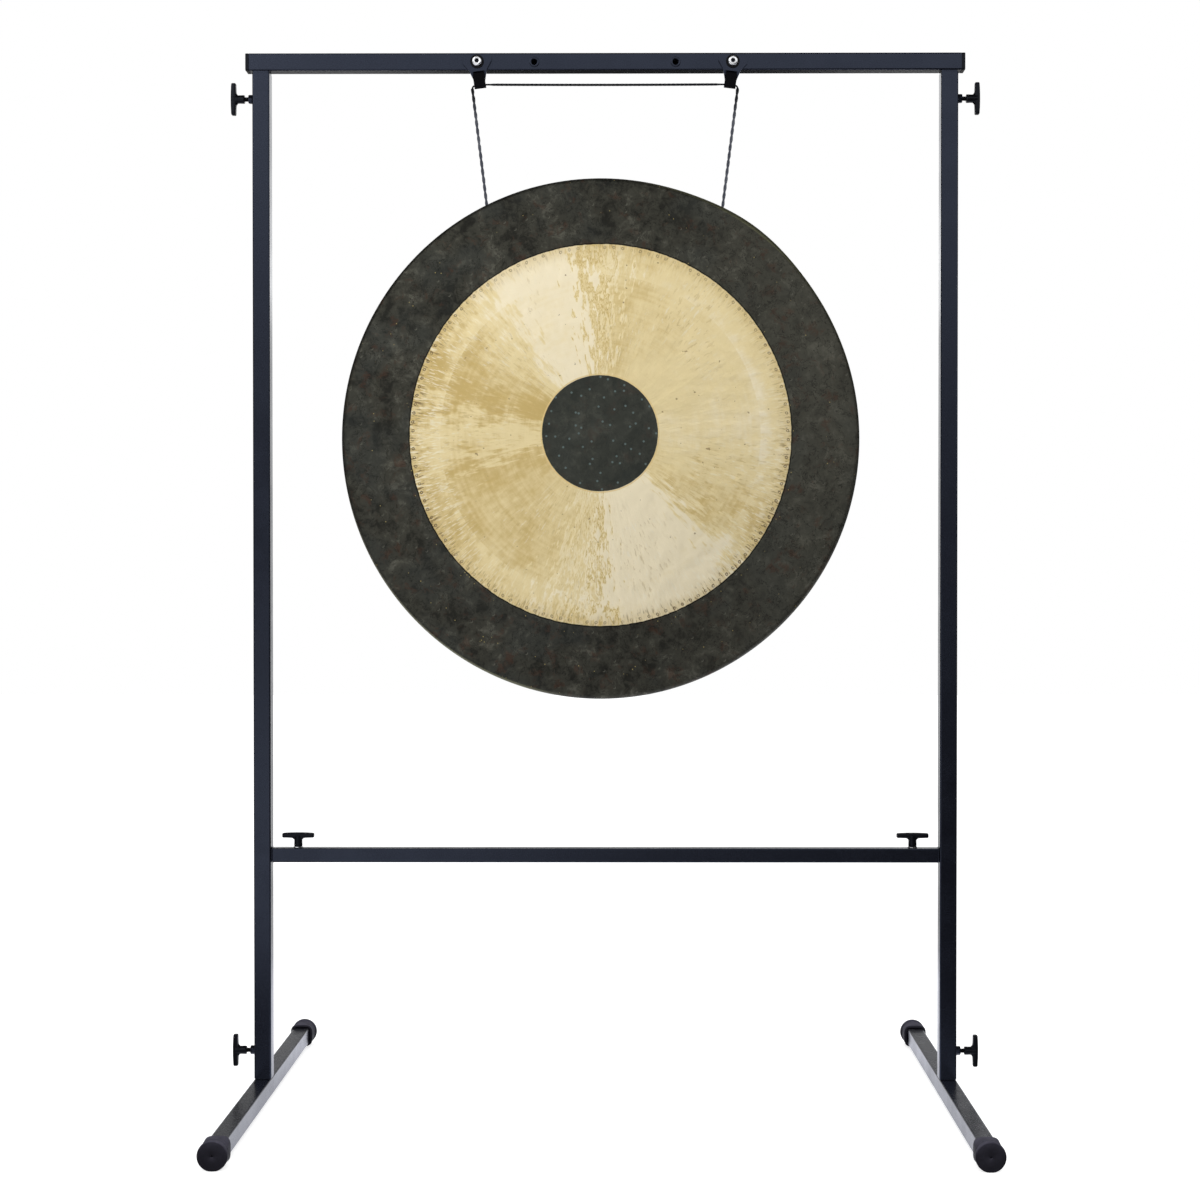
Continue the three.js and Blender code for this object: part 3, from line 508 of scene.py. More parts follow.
def hammered_gong():
    material, tree, shader = finish_of("gong, hammered and scraped")
    place = own_place(tree)
    flat, radius = spread_of(place, RING_MIDDLE)
    direction = vector("NORMALIZE", flat)
    boss_radius = spread_of(place, BOSS_MIDDLE)[1]
    outer, reach = spread_of(place, EDGE_MIDDLE)

    # Where the metal is scraped bare
    blur = 0.0004
    ragged = calc("MULTIPLY_ADD", cloudy(place, 0.010, 3.0), 0.0026, -0.0013)
    out_to = calc("ADD", radius, ragged)
    boss_edge = calc("ADD", boss_radius, product(ragged, 0.4))
    inside = between(out_to, RING_RADIUS - blur, RING_RADIUS + blur, 1.0, 0.0)
    bare = product(inside, between(boss_edge, BOSS_RADIUS - blur, BOSS_RADIUS + blur))

    brass, scraped, gloss = scraped_brass(place, radius, direction, boss_edge)
    skin, pitted, dull = fire_skin(place, boss_radius, outer, reach)
    hairline = near(out_to, RING_RADIUS + 0.0014, 0.0013)
    hue = painted(skin, (hairline, HAIRLINE), (bare, brass))
    fill(shader, {"Metallic": calc("MULTIPLY_ADD", bare, BRASS_METAL - SKIN_METAL, SKIN_METAL)})
    blows = product(cloudy(place, 0.022, 2.0, 0.45), 0.0012)
    relief = calc("ADD", mix_value(bare, pitted, scraped), blows)
    look(shader, hue, mix_value(bare, dull, gloss), relief, 1.0, 0.8)
    return material


FINISHES = {
    "powder_coat": coated(
        "powder coat, dark", (0.0026, 0.0025, 0.0040), dusty=(0.042, 0.040, 0.053), rough=0.19,
        grain=0.0009, lumps=0.5, height=0.00003, dust=0.05, shine=0.54, tint=(0.58, 0.69, 1.0),
    ),
    "rubber": coated(
        "rubber, moulded", (0.0019, 0.0017, 0.0029), dusty=(0.104, 0.100, 0.138), rough=0.5,
        grain=0.0007, lumps=0.3, height=0.00006, dust=0.0, shine=0.06, trodden=0.8,
    ),
    "black_plastic": coated(
        "plastic, moulded", (0.0014, 0.0014, 0.0020), dusty=(0.05, 0.05, 0.055), rough=0.30,
        grain=0.0006, lumps=0.2, height=0.00003, dust=0.03, shine=0.2, tint=(0.75, 0.82, 1.0),
    ),
    "zinc": plated(
        "zinc plate", (0.86, 0.87, 0.89), rough=0.16, brushed=0.00002, scale=(1.0, 6.0, 1.0)
    ),
    "black_steel": plated(
        "blackened steel", (0.003, 0.003, 0.004), rough=0.3, brushed=0.00002, metal=0.0, shine=0.12
    ),
    "brass": hammered_gong(),
    "cord": laid_cord(),
}


# Forms: lists of points in millimetres, and of faces

ROUND_STEPS = 48


def angles(steps, start=0.0):
    """One turn in equal steps."""
    return [tau * k / steps + start for k in range(steps)]


def polar(radius, angle, height):
    return Vector((radius * cos(angle), radius * sin(angle), height))


def lathe(profile, steps=ROUND_STEPS):
    """A solid of revolution about Z from [radius, height] pairs, with the material on their left."""
    rows, points, faces = [], [], []
    for radius, height in profile:
        if radius == 0:
            rows.append([len(points)])
            points.append(Vector((0, 0, height)))
            continue
        rows.append(list(range(len(points), len(points) + steps)))
        points += [polar(radius, angle, height) for angle in angles(steps)]
    for low, high in zip(rows, rows[1:]):
        for k in range(steps):
            a, b = low[k % len(low)], low[(k + 1) % len(low)]
            c, d = high[(k + 1) % len(high)], high[k % len(high)]
            face = [v for i, v in enumerate((a, b, c, d)) if v not in (a, b, c, d)[:i]]
            if len(face) > 2:
                faces.append(face)
    return points, faces


def rings(loops, ends=True, around=False):
    """A skin through loops of points, all of one count. around joins the last loop to the first."""
    count = len(loops[0])
    points = [Vector(p) for loop in loops for p in loop]
    faces = []
    for i in range(len(loops) - (0 if around else 1)):
        after = (i + 1) % len(loops)
        for j in range(count):
            k = (j + 1) % count
            faces.append([i * count + j, i * count + k, after * count + k, after * count + j])
    if ends and not around:
        faces.append(list(range(count))[::-1])
        faces.append([(len(loops) - 1) * count + j for j in range(count)])
    return points, faces


def swept(route, radii, sides, around=False):
    """A round tube along a route, with one radius or one for each of its points."""
    route = [Vector(p) for p in route]
    count = len(route)
    loops = []
    side = None
    for i, point in enumerate(route):
        before = route[i - 1] if i or around else point
        after = route[(i + 1) % count] if i + 1 < count or around else point
        ahead = (after - before).normalized()
        if side is None:
            side = ahead.orthogonal().normalized()
        side = (side - ahead * side.dot(ahead)).normalized()
        up = ahead.cross(side)
        radius = radii[i] if hasattr(radii, "__len__") else radii
        loops.append([
            point + side * radius * cos(angle) + up * radius * sin(angle) for angle in angles(sides)
        ])
    return rings(loops, around=around)


def squared(angle, half_x, half_y, power):
    """Distance from the middle to a squared-off circle's edge: power 2 is round."""
    across = abs(cos(angle) / half_x) ** power
    up = abs(sin(angle) / half_y) ** power
    return (across + up) ** (-1 / power)


def outline(half_x, half_y, power, height, steps=ROUND_STEPS, start=0.0):
    return [
        polar(squared(angle, half_x, half_y, power), angle, height) for angle in angles(steps, start)
    ]


def circle(radius, height):
    return outline(radius, radius, 2, height)


def hexagon(flats, height):
    """A hexagonal loop with as many points as a round one, and a corner along X."""
    found = []
    for angle in angles(ROUND_STEPS):
        off = (angle + pi / 6) % (pi / 3) - pi / 6
        found.append(polar(flats / 2 / cos(pi / 6 - abs(off)), angle, height))
    return found


def together(*forms):
    points, faces = [], []
    for some, linked in forms:
        faces += [[v + len(points) for v in face] for face in linked]
        points += some
    return points, faces


def mesh_of(name, form, place):
    data = bpy.data.meshes.new(name)
    data.from_pydata([(place @ p) * MM for p in form[0]], [], form[1])
    return data


def piece(name, form, finish, body, place=Matrix(), replaces=(), sharp=38):
    """A form at its place as a piece of the object: finished, on its body, standing for CAD nodes."""
    data = mesh_of(name, form, place)
    data.validate()
    data.shade_smooth()
    data.set_sharp_from_angle(angle=radians(sharp))
    data.materials.append(FINISHES[finish])
    made = add_object(name, data)
    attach(made, body)
    if replaces:
        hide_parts(*replaces)
    return made


def facing(at, out, up=(0, 0, 1)):
    """The place whose +Z points out and whose +Y is as near up as it can be."""
    z = Vector(out).normalized()
    x = Vector(up).cross(z).normalized()
    y = z.cross(x)
    turn = Matrix((x, y, z)).transposed().to_4x4()
    return Matrix.Translation(Vector(at)) @ turn


# Feet

TUBE, SIDE_X, FOOT_HALF = 30.0, 600.0, 468.0
CAP_RADIUS, CAP_AXIS, CAP_LENGTH, CAP_FLANGE = 24.0, 23.3, 46.0, 9.0


def foot_cap():
    """Square at the mouth, round at the sole, with a dimple in the sole. Z runs from mouth to sole."""
    bore, neck, sole = TUBE / 2, CAP_LENGTH - CAP_FLANGE, CAP_LENGTH
    stations = (
        (bore + 0.3, 8, 22.0), (bore + 0.3, 8, 1.2), (bore + 1.2, 8, 0.0), (19.4, 4.2, 0.0),
        (20.6, 4.0, 0.5), (21.0, 3.8, 1.6), (21.1, 3.5, 6.0), (21.5, 2.9, 16.0),
        # Two creases before the flange
        (21.9, 2.4, neck - 12.0), (22.0, 2.3, neck - 11.0), (22.4, 2.2, neck - 10.4),
        (22.4, 2.2, neck - 9.2), (22.0, 2.2, neck - 8.6), (22.1, 2.1, neck - 5.6),
        (22.5, 2.1, neck - 5.0), (22.5, 2.1, neck - 3.8), (22.1, 2.1, neck - 3.2),
        (22.2, 2.1, neck - 1.5),
        # The flange and the sole
        (22.5, 2, neck - 0.5), (23.4, 2, neck + 0.1), (23.9, 2, neck + 0.9),
        (CAP_RADIUS, 2, neck + 2.0), (CAP_RADIUS, 2, sole - 2.2), (23.8, 2, sole - 1.1),
        (23.2, 2, sole - 0.4), (22.2, 2, sole), (10.0, 2, sole), (2.7, 2, sole),
        (2.2, 2, sole - 0.2), (2.0, 2, sole - 0.6), (1.9, 2, sole - 3.0), (0.6, 2, sole - 3.1),
    )
    loops = [outline(half, half, power, height) for half, power, height in stations]
    for loop in loops:
        for point in loop:
            point.y = max(point.y, -CAP_AXIS)
    return rings(loops)


def dress_feet():
    for side, sign in SIDES:
        for end, way in (("front", -1), ("rear", 1)):
            place = facing((sign * SIDE_X, way * (FOOT_HALF - CAP_LENGTH), CAP_AXIS), (0, way, 0))
            node = f"{side}_{end}_foot_cap"
            piece(node + "_moulded", foot_cap(), "rubber", side + "_foot", place, [node])


# Clamps

SCREW, SCREW_PITCH = 7.8, 1.25
CLAMP_LEVELS = {"lower": 86.9, "upper": 1753.8}
UPRIGHT_FACE, CROSSBAR_TOP, CROSSBAR_CLAMP_X = 615.0, 443.6, 539.0
# From the tube's face: where the nut or washer starts, where the wing starts, and the thread's ends
SEAT, UPRIGHT_WING, CROSSBAR_WING = 0.3, 15.3, 2.2
UPRIGHT_THREAD, CROSSBAR_THREAD = (-2.2, 25.2), (-12.6, 12.2)


def threaded(diameter, start, end, pitch=SCREW_PITCH, steps=20, rows=5):
    """A rod with a raised thread from start to end along Z, chamfered at its start."""
    loops = []
    count = max(int((end - start) / pitch * rows), 2)
    for i in range(count + 1):
        height = start + (end - start) * i / count
        loop = []
        for k, angle in enumerate(angles(steps)):
            phase = ((height - start) / pitch - k / steps) % 1.0
            crest = 1 - abs(2 * phase - 1)
            radius = diameter / 2 - 0.58 * (1 - min(crest * 1.5, 1.0))
            radius -= max(0.0, 1.0 - (height - start)) * 0.9
            loop.append(polar(radius, angle, height))
        loops.append(loop)
    return rings(loops)


def wing_head():
    """A moulded T: a round hub, z = 0 at its foot, and a slightly bowed bar along X."""
    hub = lathe([
        (4.2, 9.0), (4.2, 0.25), (4.6, 0.0), (6.3, 0.0), (6.95, 0.25), (7.3, 0.95),
        (7.35, 3.0), (7.15, 8.0), (7.2, 12.0), (7.4, 13.6), (7.4, 19.5), (0.0, 19.5),
    ])
    half, rounded_from = 27.75, 0.93
    shares = (0.25, 0.5, 0.75, rounded_from, 0.975, 0.995, 1.0)
    loops = []
    for share in [-s for s in shares[::-1]] + [0.0, *shares]:
        tip = abs(share)
        past = max(tip - rounded_from, 0.0) / (1 - rounded_from)
        draw = 1.5 * (1 - sqrt(max(0.0, 1 - past ** 2)))
        thick = 10.2 - 2.2 * tip - 2 * draw
        width = 12.5 - 1.2 * tip * tip - 2 * draw
        outer = 24.2 - tip * tip - draw
        loops.append([
            Vector((share * half, p.x, outer - thick / 2 + p.y))
            for p in outline(width / 2, thick / 2, 5.5, 0.0, 32, 0.05)
        ])
    web = [
        outline(reach, 6.1 - 0.5 * (1 - share), 2.6, 16.5 - 4.6 * share)
        for share, reach in ((0.0, 15.5), (0.35, 11.6), (0.7, 8.9), (1.0, 7.3))
    ]
    return together(hub, rings(loops), rings(web))


def weld_nut():
    """A hexagon nut with its corners turned off, on a lumpy bead of weld."""
    chamfer = [p.lerp(q, 0.75) for p, q in zip(hexagon(14.0, 8.0), circle(6.9, 8.0))]
    nut = rings([
        circle(4.3, 7.9), circle(4.3, 0.2), hexagon(13.4, 0.0), hexagon(14.0, 0.5), hexagon(14.0, 7.0),
        chamfer, circle(5.6, 8.0), circle(4.9, 7.9), circle(4.3, 7.3),
    ], ends=False)
    root, bead = 6.7, []
    for angle in angles(54):
        size = 1.35 + 0.5 * noise.noise(polar(2.2, angle, 3.1)) + 0.16 * sin(angle * 19)
        section = (0.0, 0.0), (size * 1.25, 0.02), (size * 1.05, size * 0.6), (size * 0.55, size * 1.05)
        bead.append([polar(root + out, angle, up) for out, up in (*section, (0.1, size * 1.5))])
    return together(nut, rings(bead, around=True))


def washer_form(bore, radius, thick):
    edge = 0.25
    return lathe([
        (bore, edge), (bore + edge, 0), (radius - edge, 0), (radius, edge), (radius, thick - edge),
        (radius - edge, thick), (bore + edge, thick), (bore, thick - edge), (bore, edge),
    ], 64)


def dress_screw(name, place, span, head):
    """A clamp screw's thread, over a span of its place's Z, and its wing."""
    piece(
        name + "_screw_threaded", threaded(SCREW, *span), "black_steel", name + "_screw", place,
        [name + "_clamp_screw"],
    )
    piece(
        name + "_wing_moulded", wing_head(), "black_plastic", name + "_wing", head,
        [name + "_wing_head"],
    )


def dress_clamps():
    quarter, twelfth = (Matrix.Rotation(angle, 4, "Z") for angle in (pi / 2, pi / 6))
    for side, sign in SIDES:
        for level, height in CLAMP_LEVELS.items():
            name = f"{side}_{level}"
            nut, screw, head = (
                facing((sign * (UPRIGHT_FACE + off), 0, height), (sign, 0, 0))
                for off in (SEAT, 0.0, UPRIGHT_WING)
            )
            if level == "upper":
                nut = nut @ twelfth
            nut = nut @ quarter
            piece(name + "_nut_welded", weld_nut(), "powder_coat", "frame", nut, [name + "_weld_nut"])
            dress_screw(name, screw, UPRIGHT_THREAD, head @ quarter)
        name = side + "_crossbar"
        washer, screw, head = (
            Matrix.Translation((sign * CROSSBAR_CLAMP_X, 0, CROSSBAR_TOP + off))
            for off in (SEAT, 0.0, CROSSBAR_WING)
        )
        dress_screw(name, screw, CROSSBAR_THREAD, head)
        ring = washer_form(4.2, 8.25, 1.6)
        piece(name + "_washer_plated", ring, "zinc", "frame", washer, [name + "_washer"])


# Hangers

INSERT_LEVEL, HANGER_X, SPARE_X = 1815.0, 222.5, 123.0
# From the rail's face: where the washer and the bolt's head start
HANGER_WASHER, HANGER_BOLT = 4.1, 6.0


def bolt_form():
    """Button head with a hexagon socket; z = 0 is under the head and the shank runs to -Z."""
    crown = [
        circle(radius, height) for radius, height in (
            (8.3, 0.0), (8.7, 0.35), (8.75, 1.4), (8.6, 3.0), (8.2, 4.3), (7.7, 5.0), (7.1, 5.35),
            (6.0, 5.5), (4.4, 5.5),
        )
    ]
    crown += [hexagon(7.1, 5.4), hexagon(6.9, 5.1), hexagon(6.9, 2.4), circle(1.4, 2.0)]
    return together(rings(crown), threaded(9.6, -21.0, 0.0, 1.5))


def socket_shade_lining():
    """The bolt's hexagon socket lined in black: painted shade in the recess."""
    walls = (7.1, 5.45), (6.7, 5.1), (6.5, 4.8), (6.5, 2.6), (0.1, 2.3)
    return rings([hexagon(flats, height) for flats, height in walls], ends=False)


def insert_form():
    """Rivet nut: a thin flange outside the rail, a threaded bore, and its body inside."""
    flange = (8.2, 0.3), (8.6, 0.45), (8.75, 0.9), (8.5, 1.35), (8.0, 1.5), (6.0, 1.5), (5.4, 1.3)
    bore, count, steps = [], 55, ROUND_STEPS
    for i in range(count + 1):
        height = 0.8 - 16.3 * i / count
        bore.append([
            polar(5.1 - 0.5 * abs(2 * ((height / 1.5 - k / steps) % 1.0) - 1), angle, height)
            for k, angle in enumerate(angles(steps))
        ])
    profile = [(6.5, -15.5), (6.5, 0.3), *flange, (5.1, 0.8)]
    return together(lathe(profile, steps), rings(bore, ends=False))


def dress_hangers():
    for side, sign in SIDES:
        front, spare = (
            facing((sign * x, -TUBE / 2, INSERT_LEVEL), (0, -1, 0)) for x in (HANGER_X, SPARE_X)
        )
        washer, bolt = (front @ Matrix.Translation((0, 0, off)) for off in (HANGER_WASHER, HANGER_BOLT))
        bolt = bolt @ Matrix.Rotation(0.35 + 0.5 * sign, 4, "Z")
        for name, form, finish, place, *nodes in (
            ("washer_black", washer_form(5.1, 11.75, 1.6), "black_steel", washer, "hanger_washer"),
            ("bolt_plated", bolt_form(), "zinc", bolt, "hanger_bolt"),
            # The black lining in the bolt's socket is painted shade
            ("bolt_socket", socket_shade_lining(), "black_plastic", bolt),
            ("insert_held", insert_form(), "powder_coat", front, "hanger_insert"),
            ("insert_spare", insert_form(), "powder_coat", spare, "spare_insert"),
        ):
            piece(f"{side}_{name}", form, finish, "rail", place, [f"{side}_{node}" for node in nodes])


# Weld beads round the stubs' roots

FOOT_WELD_LEVEL, RAIL_WELD_LEVEL = 39.2, 1799.25
CROSSBAR_WELD_X, CROSSBAR_LEVEL = 583.4, 431.1


def bead_form(side, radius, seed):
    """A lumpy bead round a square: a closed loop with ripples, in the plane z = 0."""
    corner, straight, steps = 2.5, 0.8, 18
    half = side / 2 - radius
    reach = half - corner
    route, radii = [], []
    for turn in range(4):
        square = Matrix.Rotation(turn * pi / 2, 4, "Z")
        for step in range(steps):
            share = step / steps
            if share < straight:
                point = Vector((half, -reach + 2 * reach * share / straight, 0))
            else:
                angle = (share - straight) / (1 - straight) * pi / 2
                point = Vector((reach, reach, 0)) + polar(corner, angle, 0)
            route.append(square @ point)
    for k, point in enumerate(route):
        lump = noise.noise(point * 0.22 + Vector((seed, 0, 0)))
        radii.append(radius * (1 + 0.16 * lump + 0.1 * sin(k * 2.3 + seed)))
    return swept(route, radii, 10, around=True)


def dress_welds():
    for side, sign in SIDES:
        low, high = (
            Matrix.Translation((sign * SIDE_X, 0, level))
            for level in (FOOT_WELD_LEVEL, RAIL_WELD_LEVEL)
        )
        inward = facing((sign * CROSSBAR_WELD_X, 0, CROSSBAR_LEVEL), (-sign, 0, 0))
        for name, width, radius, seed, place, body in (
            ("rail_weld", 29.0, 1.45, 1.7, high, "rail"),
            ("foot_weld", 29.2, 0.75, 4.2, low, side + "_foot"),
            ("crossbar_weld", 25.6, 1.35, 7.9, inward, "frame"),
        ):
            piece(f"{side}_{name}", bead_form(width, radius, seed + sign), "powder_coat", body, place)


# Gong

GONG_RADIUS, GONG_THICK, GONG_DOME, GONG_RIM, GONG_SHOULDER = 454.0, 3.0, 20.0, 55.0, 10.0
GONG_TAPER = radians(8)
GONG_PLACE = Matrix.Translation((-8.0, -12.38, 1160.0)) @ Matrix.Rotation(radians(0.99), 4, "Y")
OVAL, SWELL, SWELL_AT, SWELL_SPREAD = 0.0025, 4.5, radians(55), radians(12)


def gong_profile(inside):
    """[radius, depth] from the middle to the rim's edge: 0 inside is the outer surface."""
    flat = GONG_RADIUS - GONG_SHOULDER
    found = []
    for i in range(46):
        share = i / 46
        found.append((flat * share, inside - GONG_DOME * (1 - share * share)))
    for i in range(11):
        angle = -pi / 2 + (GONG_TAPER + pi / 2) * i / 10
        radius = GONG_SHOULDER - inside
        found.append((flat + radius * cos(angle), GONG_SHOULDER + radius * sin(angle)))
    root, depth = found[-1]
    for i in range(1, 7):
        down = (GONG_RIM - 0.8 - depth) * i / 6
        found.append((root - down * tan(GONG_TAPER), depth + down))
    return found


def gong_form():
    """Oval and dented by hand, with a flat swell at its upper right."""
    steps = 240
    outside, inside = gong_profile(0.0), gong_profile(GONG_THICK)
    edge = [(outside[-1][0] - 0.7, GONG_RIM), (inside[-1][0] + 0.7, GONG_RIM)]
    profile = outside + edge + inside[::-1]
    loops = []
    for radius, depth in profile[1:-1]:
        loop = []
        for angle in angles(steps):
            x, z = radius * sin(angle), radius * cos(angle)
            off = (atan2(z, x) - SWELL_AT) / SWELL_SPREAD
            stretch = 1 + SWELL * exp(-off * off) * (radius / GONG_RADIUS) ** 2 / radius
            at = Vector((x, 0, z)) * 0.011
            dent = 0.35 * noise.noise(at) + 0.22 * noise.noise(at * 3.1)
            loop.append(Vector((x * stretch * (1 - OVAL), depth + dent, z * stretch * (1 + OVAL))))
        loops.append(loop)
    points, faces = rings(loops, ends=False)
    for loop_at, (_, depth) in ((0, profile[0]), (len(loops) - 1, profile[-1])):
        middle = len(points)
        points.append(Vector((0, depth, 0)))
        for k in range(steps):
            a, b = loop_at * steps + k, loop_at * steps + (k + 1) % steps
            faces.append([middle, a, b] if loop_at else [middle, b, a])
    return points, faces


def bored(made, form, place):
    """Cuts a form out of a piece."""
    cutter = add_object("drill", mesh_of("drill", form, place))
    cut = made.modifiers.new("hole", "BOOLEAN")
    cut.operation, cut.solver, cut.object = "DIFFERENCE", "EXACT", cutter
    graph = bpy.context.evaluated_depsgraph_get()
    made.data = bpy.data.meshes.new_from_object(made.evaluated_get(graph))
    made.modifiers.clear()
    bpy.data.objects.remove(cutter)


# Cord: the route that the solids follow, from one knot over both hooks to the other. Each side has
# the level run's end, the bend over the hook, the fall's top, the hole in the rim and the knot.

ROUTES = {
    "left": (
        (-206.32, -13.5, 1775.93), (-228.75, -13.5, 1773.18), (-230.98, -13.5, 1768.37),
        (-206.98, 1.62, 1568.07), (-205.08, 2.81, 1552.25),
    ),
    "right": (
        (206.32, -13.5, 1775.93), (228.75, -13.5, 1773.18), (230.98, -13.5, 1768.37),
        (204.96, 1.62, 1560.95), (202.98, 2.77, 1545.18),
    ),
}
LAY_PITCH, PLY, PLY_OFFSET = 28.0, 1.8, 1.02
# The level run is thinner where it is pressed into the hooks, from HOOK_FROM on
RUN_RADIUS, RUN_LUMP, PRESSED_BY, LUMP_PRESSED_BY = 2.05, 0.1, 0.53, 0.07
HOOK_FROM, PRESSED_OVER, RUN_SAG = 192.0, 9.0, 0.6


def knot_form(centre):
    """A tight overhand knot."""
    reach = 3.75
    route = [
        centre + Vector((
            (sin(t) + 2 * sin(2 * t)) / 3 * reach,
            (cos(t) - 2 * cos(2 * t)) / 3 * reach,
            -sin(3 * t) * reach * 0.75,
        ))
        for t in angles(96)
    ]
    middle = [centre + Vector((0, 0, z)) for z in (-4.5, -2.0, 2.0, 4.5)]
    heart = swept(middle, [1.5, 4.2, 4.2, 1.5], 16)
    return together(swept(route, 2.45, 12, around=True), heart)


def fall_plies(top, end):
    """Two plies laid round each other from a hook down to a knot."""
    ahead = end - top
    length = ahead.length
    ahead.normalize()
    side = ahead.orthogonal().normalized()
    up = ahead.cross(side)
    forms = []
    count = int(length / 1.6)
    for start in (0.0, pi):
        route, radii = [], []
        for i in range(count + 1):
            along = length * i / count
            turn = start + tau * along / LAY_PITCH
            slack = 1 + 0.08 * sin(along * 0.05 + start)
            out = side * cos(turn) + up * sin(turn)
            route.append(top + ahead * along + out * PLY_OFFSET * slack)
            radii.append(PLY * (1 + 0.05 * sin(along * 0.9 + start)))
        forms.append(swept(route, radii, 12))
    return forms


def over_hook(route, sign):
    """The cord's way over one hook, from its fall to the level run."""
    level, bend, fall = route[:3]
    eased = bend.lerp(fall, 0.45) + Vector((0.5 * sign, 0, 0.5))
    return [fall + Vector((-0.5 * sign, 0, -1.5)), fall, eased, bend, bend.lerp(level, 0.5)]


def cord_form():
    left, right = ([Vector(p) for p in ROUTES[side]] for side, _ in SIDES)
    run = over_hook(left, -1)
    for k in range(81):
        share = k / 80
        run.append(left[0].lerp(right[0], share) - Vector((0, 0, RUN_SAG * sin(pi * share))))
    run += over_hook(right, 1)[::-1]
    dense = []
    for a, b in zip(run, run[1:]):
        steps = max(1, int((b - a).length / 1.4))
        dense += [a.lerp(b, i / steps) for i in range(steps)]
    dense.append(run[-1])
    radii = []
    for i, spot in enumerate(dense):
        pressed = min(max((abs(spot.x) - HOOK_FROM) / PRESSED_OVER, 0.0), 1.0)
        lump = (RUN_LUMP - LUMP_PRESSED_BY * pressed) * sin(i * 1.45)
        radii.append(RUN_RADIUS - PRESSED_BY * pressed + lump)
    forms = [swept(dense, radii, 12)]
    for route in (left, right):
        fall = route[2]
        forms += fall_plies(fall, route[4])
        root = [fall + Vector((0, 0, 1.2)), fall, fall + Vector((0, 0, -1.6))]
        forms += [swept(root, [1.4, 2.3, 2.4], 12), knot_form(route[4])]
    return together(*forms)


def dress_gong():
    gong = piece("gong_hammered", gong_form(), "brass", "gong", GONG_PLACE, ["gong"], sharp=50)
    drill = lathe([(0, -2.0), (3.8, -2.0), (3.8, 60.0), (0, 60.0)], 32)
    for side, _ in SIDES:
        top, end = Vector(ROUTES[side][2]), Vector(ROUTES[side][4])
        bored(gong, drill, facing(end, top - end, (0, 1, 0)))
    piece("gong_cord_laid", cord_form(), "cord", "gong", replaces=["gong_cord"], sharp=60)


# CAD pieces that keep their shape get their finish

def finish_cad_pieces():
    slots = {row["node"]: row["material_slot"] for row in frame["record"]["subparts"]}
    for name, made in frame["nodes"].items():
        made.data.materials.clear()
        made.data.materials.append(FINISHES[slots[name]])


# Floor and light. The tubes' gloss mirrors the floor and the room, and its level changes along them
# in the photograph. So glossy rays find zones there, each a fade from one place to another, with its
# values there where they aren't 0 and 1.

FLOOR_REACH, FLOOR_GLOW = 14.0, 0.66
COOL_Y, BRIGHT_Y, PAST_Y = (-3.0, -1.2), (0.1, 0.5, 0.0, 0.3), (1.0, 1.8)
LEFT_PALE_X, NEAR_DARK_Y = (-0.75, 0.05, 0.0, 0.85), (-2.6, -0.6, 0.0, 0.7)
FRONT_FROM_Y, FRONT_TO_Y = (-0.45, -0.8), (-5.2, -4.0)
RIGHT_DARK_X, OUTSIDE_X = (0.4, 0.9, 0.0, 0.98), (0.61, 0.68, 0.0, 0.9)
OUTSIDE_FROM_Y, OUTSIDE_TO_Y = (0.0, -0.1), (-1.6, -0.9)

# In the room, by the parts of the direction in which a ray leaves
ROOM_GLOSS, ROOM_LIGHT = 1.4, 0.7
FRONT, EYE_LEVEL, LEVEL_DARK = (-0.9, -0.3, 1.0, 0.0), 0.045, (0.03, 0.14, 0.85, 0.0)
LOW_DARK, LOW_DARK_X = (0.03, -0.05), (0.04, 0.13, 0.0, 0.97)
ASIDE, OVERHEAD, BEHIND = (0.26, 0.52, 1.0, 0.06), (0.38, 0.60, 1.0, 0.08), (0.2, 0.5)
WALL_HIGH, WALL_LOW = (0.12, 0.20, 0.15, 0.90), (-0.15, -0.21, 0.0, 0.98)
WALL_MIDDLE_X, WALL_MIDDLE_Z = (0.13, 0.07, 0.0, 0.95), (0.10, 0.04)


